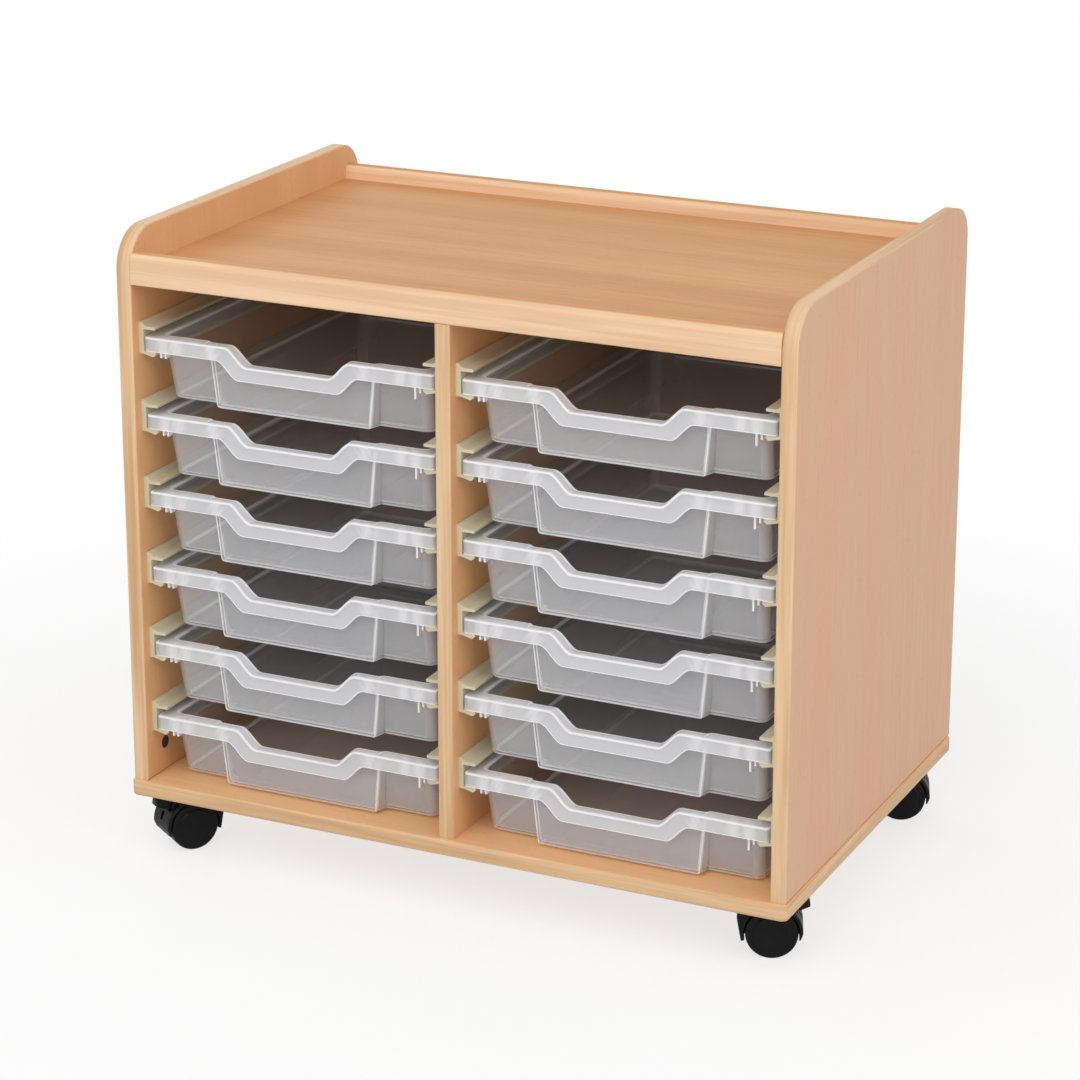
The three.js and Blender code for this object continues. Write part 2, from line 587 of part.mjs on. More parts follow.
/** Brake pedal: a barrel on the pivot line and a tab that reaches out past the hood and narrows. */
function pedalGeometry() {
  const [pivotX, pivotZ] = pedalPivot();
  const heelX = pivotX + PEDAL_HEEL;
  const tipX = AXLE_X + PEDAL_REACH;
  const tipZ = AXLE_Z + PEDAL_TIP_RISE;
  const half = PEDAL_HALF_WIDTH;
  const barrel = rod(PEDAL_BARREL, -half, half, pivotX, pivotZ, ROUND_SIDES);
  const tab = alongY([
    [pivotX, pivotZ + PEDAL_BARREL],
    [pivotX, pivotZ - PEDAL_BARREL],
    [heelX, pivotZ - PEDAL_BARREL],
    [tipX, tipZ],
    [tipX - PEDAL_TIP_LEAN, tipZ + PEDAL_TIP_HEIGHT],
    [pivotX + PEDAL_CROWN_REACH, pivotZ + PEDAL_CROWN_RISE],
  ], -half, half);
  let pedal = joined([barrel, tab]);
  for (const hand of [1, -1]) {
    const taper = raised([
      [heelX, hand * half],
      [tipX, hand * PEDAL_TIP_HALF_WIDTH],
      [2 * tipX, hand * PEDAL_TIP_HALF_WIDTH],
      [2 * tipX, hand * 2 * half],
      [heelX, hand * 2 * half],
    ], 0, CASTOR_HEIGHT);
    pedal = pedal.subtract(toSolid(taper));
  }
  return toGeometry(pedal);
}

function buildCastors() {
  const body = castorBody();
  const pedal = pedalGeometry();
  for (const [name, [x, y]] of Object.entries(castorSpots())) {
    const castor = new THREE.Group();
    castor.position.set(x, y, 0);
    castor.rotation.z = THREE.MathUtils.degToRad(CASTOR_TURNS_DEG[name]);
    unit.add(castor);
    place(castor, `castor_${name}_body`, body, blackPlastic);
    if (BRAKED_CASTORS.includes(name)) {
      place(castor, `castor_${name}_pedal`, pedal, blackPlastic);
    }
    for (const [hand, side] of [['a', 1], ['b', -1]]) {
      place(castor, `castor_${name}_wheel_${hand}`, wheelGeometry(side), wheelPlastic)
        .position.set(AXLE_X, 0, AXLE_Z);
    }
  }
}

buildCarcass();
buildTrays();
buildCastors();

export default unit;
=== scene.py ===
"""Looks of a mobile classroom tray unit: beech-faced boards, frosted trays, runners and castors.

Metres and +Z up in the scene, millimetres in the sizes below. The front of the unit faces -Y.
"""

import json
import logging
import math
from dataclasses import dataclass
from enum import Enum
from typing import ClassVar, Iterable, Sequence

import bpy
import numpy as np
from numpy.typing import NDArray
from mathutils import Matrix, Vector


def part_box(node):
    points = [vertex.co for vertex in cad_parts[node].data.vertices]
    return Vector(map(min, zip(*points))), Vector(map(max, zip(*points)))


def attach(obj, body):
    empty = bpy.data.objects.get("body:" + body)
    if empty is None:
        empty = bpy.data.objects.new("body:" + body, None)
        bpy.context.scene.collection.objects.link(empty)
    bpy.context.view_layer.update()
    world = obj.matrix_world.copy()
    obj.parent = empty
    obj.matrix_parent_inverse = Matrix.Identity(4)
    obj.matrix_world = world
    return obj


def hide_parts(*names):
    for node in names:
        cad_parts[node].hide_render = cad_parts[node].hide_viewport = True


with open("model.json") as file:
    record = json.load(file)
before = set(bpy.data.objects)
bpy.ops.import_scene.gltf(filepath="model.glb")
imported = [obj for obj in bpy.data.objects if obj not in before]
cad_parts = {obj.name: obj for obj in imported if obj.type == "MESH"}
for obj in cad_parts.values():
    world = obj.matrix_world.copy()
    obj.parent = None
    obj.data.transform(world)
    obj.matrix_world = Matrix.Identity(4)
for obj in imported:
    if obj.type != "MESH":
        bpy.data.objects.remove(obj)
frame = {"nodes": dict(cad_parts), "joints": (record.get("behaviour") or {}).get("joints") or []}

LOG = logging.getLogger("tray_unit")
MM = 0.001
Array = NDArray[np.float64]
Colour = tuple[int, int, int]
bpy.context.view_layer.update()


class Axis(Enum):
    """A direction of the unit's frame."""

    X = 0
    Y = 1
    Z = 2


class Slot(Enum):
    """Material slots of the record."""

    BOARD = "beech_board"
    EDGE = "beech_edge"
    BACK = "back_board"
    TRAY = "frosted_tray"
    RUNNER = "runner_plastic"
    CASTOR = "castor_plastic"
    WHEEL = "wheel_plastic"


class Bay(Enum):
    """The two columns of trays."""

    LEFT = "left"
    RIGHT = "right"


class Corner(Enum):
    """The four castor places."""

    FRONT_LEFT = "front_left"
    FRONT_RIGHT = "front_right"
    BACK_LEFT = "back_left"
    BACK_RIGHT = "back_right"


def linear(colour: Colour) -> tuple[float, float, float, float]:
    """Turns an 8-bit display colour into a linear one with full alpha.

    Args:
        colour: Red, green and blue from 0 to 255.

    Returns:
        Linear red, green, blue and alpha from 0 to 1.
    """
    share = np.asarray(colour, float) / 255.0
    low = share / 12.92
    high = ((share + 0.055) / 1.055) ** 2.4
    red, green, blue = np.where(share <= 0.04045, low, high)
    return float(red), float(green), float(blue), 1.0


class NodeSheet:
    """A node tree with short calls to add to it."""

    def __init__(self, tree: bpy.types.NodeTree) -> None:
        """Takes over a node tree and reads object coordinates into it."""
        self.tree = tree
        self.place = self.add("ShaderNodeTexCoord")

    def add(self, kind: str, **settings: object) -> bpy.types.Node:
        """Adds a node and sets its properties.

        Args:
            kind: Blender's name of the node type.
            **settings: Properties of the node.

        Returns:
            The new node.
        """
        node = self.tree.nodes.new(kind)
        for key, value in settings.items():
            setattr(node, key, value)
        return node

    def join(self, source: bpy.types.NodeSocket, node: bpy.types.Node, socket: str | int) -> None:
        """Links an output to an input of a node."""
        self.tree.links.new(source, node.inputs[socket])

    def stretched(self, scale: Sequence[float]) -> bpy.types.NodeSocket:
        """Gives object coordinates multiplied by a scale along each axis.

        Args:
            scale: Repeats per metre along X, Y and Z.

        Returns:
            The scaled vector.
        """
        mapping = self.add("ShaderNodeMapping")
        mapping.inputs["Scale"].default_value = tuple(scale)
        self.join(self.place.outputs["Object"], mapping, "Vector")
        return mapping.outputs["Vector"]

    def noise(self, vector: bpy.types.NodeSocket, detail: float, rough: float,
              wave: float = 0.0) -> bpy.types.NodeSocket:
        """Gives fractal noise at one repeat per unit of the vector.

        Args:
            vector: Where the noise is read.
            detail: Number of octaves.
            rough: Weight of each finer octave.
            wave: How far the pattern wanders from its straight course.

        Returns:
            A value about 0.5.
        """
        node = self.add("ShaderNodeTexNoise")
        node.inputs["Scale"].default_value = 1.0
        node.inputs["Detail"].default_value = detail
        node.inputs["Roughness"].default_value = rough
        node.inputs["Distortion"].default_value = wave
        self.join(vector, node, "Vector")
        return node.outputs["Fac"]

    def spots(self, vector: bpy.types.NodeSocket) -> bpy.types.NodeSocket:
        """Gives the distance to the nearest of a scatter of points, one per unit cell."""
        node = self.add("ShaderNodeTexVoronoi")
        node.inputs["Scale"].default_value = 1.0
        self.join(vector, node, "Vector")
        return node.outputs["Distance"]

    def spread(self, value: bpy.types.NodeSocket, source: tuple[float, float],
               target: tuple[float, float]) -> bpy.types.NodeSocket:
        """Maps a range of values smoothly to another range and holds it at both ends.

        Args:
            value: The value to map.
            source: Range that is read.
            target: Range that is given.

        Returns:
            The mapped value.
        """
        node = self.add("ShaderNodeMapRange", interpolation_type="SMOOTHSTEP")
        for key, number in zip(("From Min", "From Max", "To Min", "To Max"), source + target):
            node.inputs[key].default_value = number
        self.join(value, node, "Value")
        return node.outputs["Result"]

    def combine(self, operation: str, first: bpy.types.NodeSocket,
                second: bpy.types.NodeSocket) -> bpy.types.NodeSocket:
        """Puts two values together.

        Args:
            operation: Blender's name of the sum, such as MULTIPLY or MAXIMUM.
            first: One value.
            second: The other value.

        Returns:
            The result.
        """
        node = self.add("ShaderNodeMath", operation=operation)
        self.join(first, node, 0)
        self.join(second, node, 1)
        return node.outputs["Value"]

    def attribute(self, name: str) -> bpy.types.NodeSocket:
        """Reads a number that the mesh carries at each point."""
        return self.add("ShaderNodeAttribute", attribute_name=name).outputs["Fac"]

    def across(self, axis: Axis) -> bpy.types.NodeSocket:
        """Gives the distance from the unit's middle along an axis, in metres."""
        parts = self.add("ShaderNodeSeparateXYZ")
        self.join(self.place.outputs["Object"], parts, "Vector")
        size = self.add("ShaderNodeMath", operation="ABSOLUTE")
        self.join(parts.outputs[axis.value], size, 0)
        return size.outputs["Value"]

    def looked_at(self) -> bpy.types.NodeSocket:
        """Gives 1 for what the camera sees, straight, mirrored or through a clear piece, and else 0."""
        path = self.add("ShaderNodeLightPath")
        mirrored = self.combine("MAXIMUM", path.outputs["Is Camera Ray"], path.outputs["Is Glossy Ray"])
        return self.combine("MAXIMUM", mirrored, path.outputs["Is Transmission Ray"])

    def tint(self, share: bpy.types.NodeSocket, first: bpy.types.NodeSocket | Colour,
             second: bpy.types.NodeSocket | Colour) -> bpy.types.NodeSocket:
        """Blends two colours.

        Args:
            share: Share of the second colour.
            first: Colour at share 0, fixed or linked.
            second: Colour at share 1, fixed or linked.

        Returns:
            The blended colour.
        """
        node = self.add("ShaderNodeMix", data_type="RGBA")
        self.join(share, node, 0)
        for index, colour in ((6, first), (7, second)):
            if isinstance(colour, tuple):
                node.inputs[index].default_value = linear(colour)
            else:
                self.join(colour, node, index)
        return node.outputs[2]

    def facing(self, axis: Axis) -> bpy.types.NodeSocket:
        """Gives 1 where the surface faces along an axis of the unit and 0 where it faces across it."""
        parts = self.add("ShaderNodeSeparateXYZ")
        self.join(self.place.outputs["Normal"], parts, "Vector")
        size = self.add("ShaderNodeMath", operation="ABSOLUTE")
        self.join(parts.outputs[axis.value], size, 0)
        return size.outputs["Value"]


class FinishSheet(NodeSheet):
    """The nodes of a new material with one Principled shader."""

    def __init__(self, name: str) -> None:
        """Starts a material that holds only its shader and output.

        Args:
            name: Name of the new material.
        """
        self.material = bpy.data.materials.new(name)
        self.material.use_nodes = True
        self.material.node_tree.nodes.clear()
        super().__init__(self.material.node_tree)
        self.shader = self.add("ShaderNodeBsdfPrincipled")
        self.output = self.add("ShaderNodeOutputMaterial")
        self.join(self.shader.outputs["BSDF"], self.output, "Surface")

    def bump(self, height: bpy.types.NodeSocket, depth: float) -> None:
        """Raises the shader's surface by a height map.

        Args:
            height: Height from 0 to 1.
            depth: Depth of the full height, in millimetres.
        """
        node = self.add("ShaderNodeBump")
        node.inputs["Distance"].default_value = depth * MM
        node.inputs["Strength"].default_value = 1.0
        self.join(height, node, "Height")
        self.join(node.outputs["Normal"], self.shader, "Normal")


@dataclass(frozen=True)
class BeechTone:
    """The colours of one shade of beech."""

    pale: Colour
    deep: Colour
    fleck: Colour


@dataclass(frozen=True)
class BeechFinish:
    """Steamed beech foil: broad soft bands, faint ripples and streaks, short dark flecks, and, where an inner
    tone is given, painted warm bounce light on the faces within the bays.
    """

    name: str
    grain: Axis
    face: Axis
    tone: BeechTone
    edge: BeechTone
    # inner: a second tone on faces within inner_half of the unit's middle, used as painted warm bounce light
    # in the bays
    inner: BeechTone | None = None
    inner_half: float = 0.341
    inner_blend: float = 0.002
    band_across: float = 11.0
    band_along: float = 0.9
    ripple_across: float = 70.0
    ripple_along: float = 2.6
    ripple_share: float = 0.45
    edge_across: float = 100.0
    edge_along: float = 3.0
    edge_wave: float = 0.5
    streak_across: float = 420.0
    streak_along: float = 12.0
    streak_share: float = 0.13
    fleck_across: float = 330.0
    fleck_along: float = 80.0
    fleck_share: float = 0.42
    roughness: tuple[float, float] = (0.44, 0.58)
    gloss: float = 0.3
    grain_depth: float = 0.04

    def along(self, across: float, along: float) -> tuple[float, ...]:
        """Gives a scale that is stretched out along the grain."""
        return tuple(along if axis is self.grain else across for axis in Axis)

    def around(self, across: float, along: float) -> tuple[float, ...]:
        """Gives a scale that is fine through the board and stretched out along its edges."""
        return tuple(across if axis is self.face else along for axis in Axis)

    def coloured(self, sheet: NodeSheet, tone: BeechTone, figure: bpy.types.NodeSocket,
                 ripple: bpy.types.NodeSocket) -> bpy.types.NodeSocket:
        """Blends a tone's pale and deep colours by the broad figure, then by the finer ripple."""
        broad = sheet.tint(sheet.spread(figure, (0.3, 0.7), (0.0, 1.0)), tone.pale, tone.deep)
        return sheet.tint(sheet.spread(ripple, (0.45, 0.75), (0.0, self.ripple_share)), broad, tone.deep)

    def make(self) -> bpy.types.Material:
        """Builds the material.

        Returns:
            A beech material whose narrow edges carry a paler edging band.
        """
        sheet = FinishSheet(self.name)
        figure = sheet.noise(sheet.stretched(self.along(self.band_across, self.band_along)), 2.0, 0.45)
        ripple = sheet.noise(sheet.stretched(self.along(self.ripple_across, self.ripple_along)), 3.0, 0.55)
        streak = sheet.noise(sheet.stretched(self.along(self.streak_across, self.streak_along)), 4.0, 0.6)
        dots = sheet.spots(sheet.stretched(self.along(self.fleck_across, self.fleck_along)))
        plain = self.coloured(sheet, self.tone, figure, ripple)
        # Faces within inner_half of the middle, inside the bays, take the inner tone: painted warm bounce
        # light on the same foil
        if self.inner is not None:
            reach = (self.inner_half - self.inner_blend, self.inner_half + self.inner_blend)
            outside = sheet.spread(sheet.across(Axis.X), reach, (0.0, 1.0))
            plain = sheet.tint(outside, self.coloured(sheet, self.inner, figure, ripple), plain)
        drawn = sheet.spread(streak, (0.5, 0.75), (0.0, self.streak_share))
        streaked = sheet.tint(drawn, plain, self.tone.fleck)
        dotted = sheet.spread(dots, (0.08, 0.2), (self.fleck_share, 0.0))
        flecked = sheet.tint(dotted, streaked, self.tone.fleck)
        course = sheet.stretched(self.around(self.edge_across, self.edge_along))
        fibre = sheet.noise(sheet.stretched(self.around(self.streak_across, self.streak_along)), 4.0, 0.6)
        band = self.coloured(sheet, self.edge, sheet.noise(course, 3.0, 0.55, self.edge_wave), fibre)
        face = sheet.spread(sheet.facing(self.face), (0.75, 0.92), (0.0, 1.0))
        sheet.join(sheet.tint(face, band, flecked), sheet.shader, "Base Color")
        sheet.join(sheet.spread(streak, (0.3, 0.7), self.roughness), sheet.shader, "Roughness")
        sheet.shader.inputs["Specular IOR Level"].default_value = self.gloss
        sheet.bump(streak, self.grain_depth)
        return sheet.material


@dataclass(frozen=True)
class FrostedFinish:
    """Natural polypropylene: a milky veil that lets light through, whiter in its edges, with a satin skin."""

    name: str
    thin: Colour = (246, 246, 249)
    thick: Colour = (250, 250, 252)
    veil_thin: float = 0.1
    veil_thick: float = 0.86
    roughness: tuple[float, float] = (0.3, 0.38)
    cloud_scale: float = 30.0
    skin_scale: float = 900.0
    skin_depth: float = 0.02

    def make(self) -> bpy.types.Material:
        """Builds the milky plastic, more of a veil where the mesh's milk value is high than in thin walls.

        Returns:
            The material.
        """
        sheet = FinishSheet(self.name)
        cloud = sheet.noise(sheet.stretched((self.cloud_scale,) * 3), 2.0, 0.5)
        skin = sheet.noise(sheet.stretched((self.skin_scale,) * 3), 2.0, 0.5)
        milk = sheet.attribute(Patch.MILK)
        sheet.join(sheet.tint(milk, self.thin, self.thick), sheet.shader, "Base Color")
        veil = sheet.spread(milk, (0.0, 1.0), (self.veil_thin, self.veil_thick))
        sheet.join(veil, sheet.shader, "Alpha")
        sheet.join(sheet.spread(cloud, (0.3, 0.7), self.roughness), sheet.shader, "Roughness")
        sheet.bump(skin, self.skin_depth)
        return sheet.material


@dataclass(frozen=True)
class MouldedFinish:
    """Solid moulded plastic with slight tone drift, a fine spark-eroded texture and satin gloss."""

    name: str
    body: Colour
    drift: Colour
    roughness: tuple[float, float]
    gloss: float = 0.35
    drift_scale: float = 30.0
    texture_scale: float = 1400.0
    texture_depth: float = 0.04
    scuff_scale: float = 160.0

    def make(self) -> bpy.types.Material:
        """Builds the plastic, rougher where handling has scuffed it."""
        sheet = FinishSheet(self.name)
        sheet.shader.inputs["Specular IOR Level"].default_value = self.gloss
        drift = sheet.noise(sheet.stretched((self.drift_scale,) * 3), 3.0, 0.55)
        grit = sheet.noise(sheet.stretched((self.texture_scale,) * 3), 2.0, 0.5)
        scuff = sheet.noise(sheet.stretched((self.scuff_scale,) * 3), 5.0, 0.65)
        colour = sheet.tint(sheet.spread(drift, (0.3, 0.7), (0.0, 1.0)), self.body, self.drift)
        sheet.join(colour, sheet.shader, "Base Color")
        sheet.join(sheet.spread(scuff, (0.4, 0.7), self.roughness), sheet.shader, "Roughness")
        sheet.bump(grit, self.texture_depth)
        return sheet.material


@dataclass(frozen=True)
class Tag:
    """Where a finished surface belongs."""

    name: str
    body: str
    slot: Slot
    stands_for: tuple[str, ...] = ()


@dataclass
class Patch:
    """A surface as points in millimetres and faces as tuples of point numbers.

    A moulding may also carry a milk value for each point: 0 in its thin walls and 1 in its thick edges.
    """

    MILK: ClassVar[str] = "milk"
    points: Array
    faces: list[tuple[int, ...]]
    milk: Array | None = None

    @staticmethod
    def merged(patches: Iterable["Patch"]) -> "Patch":
        """Puts several surfaces into one.

        Args:
            patches: The surfaces.

        Returns:
            One surface that holds them all.
        """
        points: list[Array] = []
        faces: list[tuple[int, ...]] = []
        milk: list[Array] = []
        count = 0
        for patch in patches:
            points.append(patch.points)
            faces.extend(tuple(int(i) + count for i in face) for face in patch.faces)
            milk.extend([] if patch.milk is None else [patch.milk])
            count += len(patch.points)
        return Patch(np.concatenate(points), faces, np.concatenate(milk) if milk else None)

    def turned(self, right: Array, forward: Array, origin: Array) -> "Patch":
        """Places a surface drawn in a level frame of its own.

        Args:
            right: The frame's X direction.
            forward: The frame's Y direction.
            origin: The frame's origin in millimetres.

        Returns:
            The placed surface.
        """
        basis = np.stack([right, forward, np.cross(right, forward)])
        return Patch(self.points @ basis + origin, self.faces)

    def laid(self, place: Sequence[float] = (0.0, 0.0, 0.0)) -> "Patch":
        """Lays a surface that was turned about Z down along Y and moves it to a place."""
        return Patch(self.points[:, [0, 2, 1]] * (1.0, 1.0, -1.0) + place, self.faces)

    def show(self, tag: Tag, material: bpy.types.Material, sharp_deg: float = 35.0) -> bpy.types.Object:
        """Makes the mesh, gives it its finish and ties it to its body.

        Args:
            tag: Name, body, slot and the solids that it stands for.
            material: Finish of the whole surface.
            sharp_deg: Edges that bend more than this stay crisp.

        Returns:
            The new object.
        """
        mesh = bpy.data.meshes.new(tag.name)
        mesh.from_pydata((self.points * MM).tolist(), [], self.faces)
        mesh.polygons.foreach_set("use_smooth", np.ones(len(mesh.polygons), bool))
        mesh.set_sharp_from_angle(angle=math.radians(sharp_deg))
        mesh.materials.append(material)
        if self.milk is not None:
            mesh.attributes.new(self.MILK, "FLOAT", "POINT").data.foreach_set("value", self.milk)
        mesh.update()
        piece = bpy.data.objects.new(tag.name, mesh)
        bpy.context.scene.collection.objects.link(piece)
        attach(piece, tag.body)
        if tag.stands_for:
            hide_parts(*tag.stands_for)
        LOG.info("%s: %d faces", tag.name, len(mesh.polygons))
        return piece


def loft(rails: Array) -> Patch:
    """Joins closed rings by quads and closes the first and last ring with a flat face.

    Point (i, j) of the surface is point j of ring i. Rings run anticlockwise seen from the last ring's side.

    Args:
        rails: Rings as an array of ring, point and coordinate.

    Returns:
        A closed surface that faces outwards.
    """
    rings, count = rails.shape[:2]
    first = np.arange(count)
    after = np.roll(first, -1)
    base = np.arange(rings - 1)[:, None] * count
    quads = np.stack([base + first, base + after, base + count + after, base + count + first], axis=-1)
    faces = [tuple(row) for row in quads.reshape(-1, 4).tolist()]
    faces.append(tuple(first[::-1].tolist()))
    faces.append(tuple((first + (rings - 1) * count).tolist()))
    return Patch(rails.reshape(-1, 3), faces)


def lathe(profile: Array, segments: int) -> Patch:
    """Turns a profile about the Z axis.

    Point (i, j) is profile point i at angle j of a full turn.

    Args:
        profile: Radius and height of each point, in the order that keeps the outside on the right.
        segments: Steps of the turn.

    Returns:
        A closed surface.
    """
    angle = np.linspace(0.0, 2 * math.pi, segments, endpoint=False)
    reach = profile[:, :1]
    height = np.broadcast_to(profile[:, 1:], (len(profile), segments))
    return loft(np.stack([reach * np.cos(angle), reach * np.sin(angle), height], axis=-1))


def shell(outer: Array, inner: Array, kept: NDArray[np.bool_]) -> Patch:
    """Closes two like grids of points into one wall over the cells that are kept.

    Cell (i, j) lies between rows i and i + 1 and columns j and j + 1. Each kept cell gives one face on each
    grid, and a strip closes every side of it that has no kept cell beside it.

    Args:
        outer: Grid of outer points.
        inner: Grid of inner points.
        kept: Which cells are there.

    Returns:
        A closed surface without the points that no face uses.
    """
    rows, columns = outer.shape[:2]
    count = rows * columns
    number = np.arange(count).reshape(rows, columns)
    corners = [number[:-1, :-1], number[1:, :-1], number[1:, 1:], number[:-1, 1:]]
    skin = np.stack([corner[kept] for corner in corners], axis=-1)
    quads = [skin, skin[:, ::-1] + count]
    padded = np.pad(kept, 1)
    beside = (padded[1:-1, :-2], padded[2:, 1:-1], padded[1:-1, 2:], padded[:-2, 1:-1])
    for side, neighbour in enumerate(beside):
        bare = kept & ~neighbour
        first = corners[side][bare]
        second = corners[(side + 1) % 4][bare]
        quads.append(np.stack([second, first, first + count, second + count], axis=-1))
    used, faces = np.unique(np.concatenate(quads), return_inverse=True)
    points = np.concatenate([outer.reshape(-1, 3), inner.reshape(-1, 3)])[used]
    return Patch(points, [tuple(row) for row in faces.reshape(-1, 4).tolist()])


def smooth(value: Array) -> Array:
    """The S-curve 3 s^2 - 2 s^3, with s held between 0 and 1."""
    s = np.clip(value, 0.0, 1.0)
    return s * s * (3.0 - 2.0 * s)


def arc(centre: Sequence[float], radius: float, start: float, end: float, steps: int) -> Array:
    """Points on a circle from one angle to another, both included, in degrees."""
    angle = np.radians(np.linspace(start, end, steps + 1))
    return np.stack([centre[0] + radius * np.cos(angle), centre[1] + radius * np.sin(angle)], axis=-1)


def softened(outline: Array, radius: float, steps: int) -> Array:
    """Rounds every corner of a closed outline.

    Each corner is replaced by the quadratic curve from a point a radius before it, with the corner as its
    control point, to a point a radius after it. The radius shrinks to half of a side that is too short.

    Args:
        outline: Corners in order.
        radius: Setback of the curve along each side.
        steps: Steps of each curve.

    Returns:
        The rounded outline.
    """
    before = np.roll(outline, 1, axis=0) - outline
    behind = np.roll(outline, -1, axis=0) - outline
    long_before = np.linalg.norm(before, axis=1, keepdims=True)
    long_behind = np.linalg.norm(behind, axis=1, keepdims=True)
    start = outline + before / long_before * np.minimum(radius, long_before * 0.5)
    end = outline + behind / long_behind * np.minimum(radius, long_behind * 0.5)
    t = np.linspace(0.0, 1.0, steps + 1)[None, :, None]
    curve = (1 - t) ** 2 * start[:, None] + 2 * t * (1 - t) * outline[:, None] + t ** 2 * end[:, None]
    return curve.reshape(-1, 2)


def swept(outline: Array, axis: Axis, start: float, end: float) -> Patch:
    """Carries an outline straight along an axis.

    Args:
        outline: Anticlockwise outline in the two axes that follow the given one in cyclic order.
        axis: Direction of travel.
        start: Where the sweep begins.
        end: Where it ends.

    Returns:
        A closed bar.
    """
    rails = np.zeros((2, len(outline), 3))
    rails[..., (axis.value + 1) % 3] = outline[:, 0]
    rails[..., (axis.value + 2) % 3] = outline[:, 1]
    rails[..., axis.value] = np.array([[start], [end]])
    return loft(rails)


def rounded_rectangle(low: Sequence[float], high: Sequence[float], radii: Sequence[float],
                      steps: int) -> Array:
    """Anticlockwise rectangle with a quarter circle at each corner.

    Args:
        low: Least corner.
        high: Greatest corner.
        radii: Corner radii from the least corner round.
        steps: Steps of each quarter circle.

    Returns:
        The outline.
    """
    centres = [
        (low[0] + radii[0], low[1] + radii[0]),
        (high[0] - radii[1], low[1] + radii[1]),
        (high[0] - radii[2], high[1] - radii[2]),
        (low[0] + radii[3], high[1] - radii[3]),
    ]
    turns = (180, 270, 0, 90)
    parts = [arc(c, r, turn, turn + 90, steps) for c, r, turn in zip(centres, radii, turns)]
    return np.concatenate(parts)


def millimetres(node: str) -> tuple[Array, Array]:
    """Least and greatest corner of a solid of the frame, in millimetres."""
    low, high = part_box(node)
    return np.array(low) / MM, np.array(high) / MM


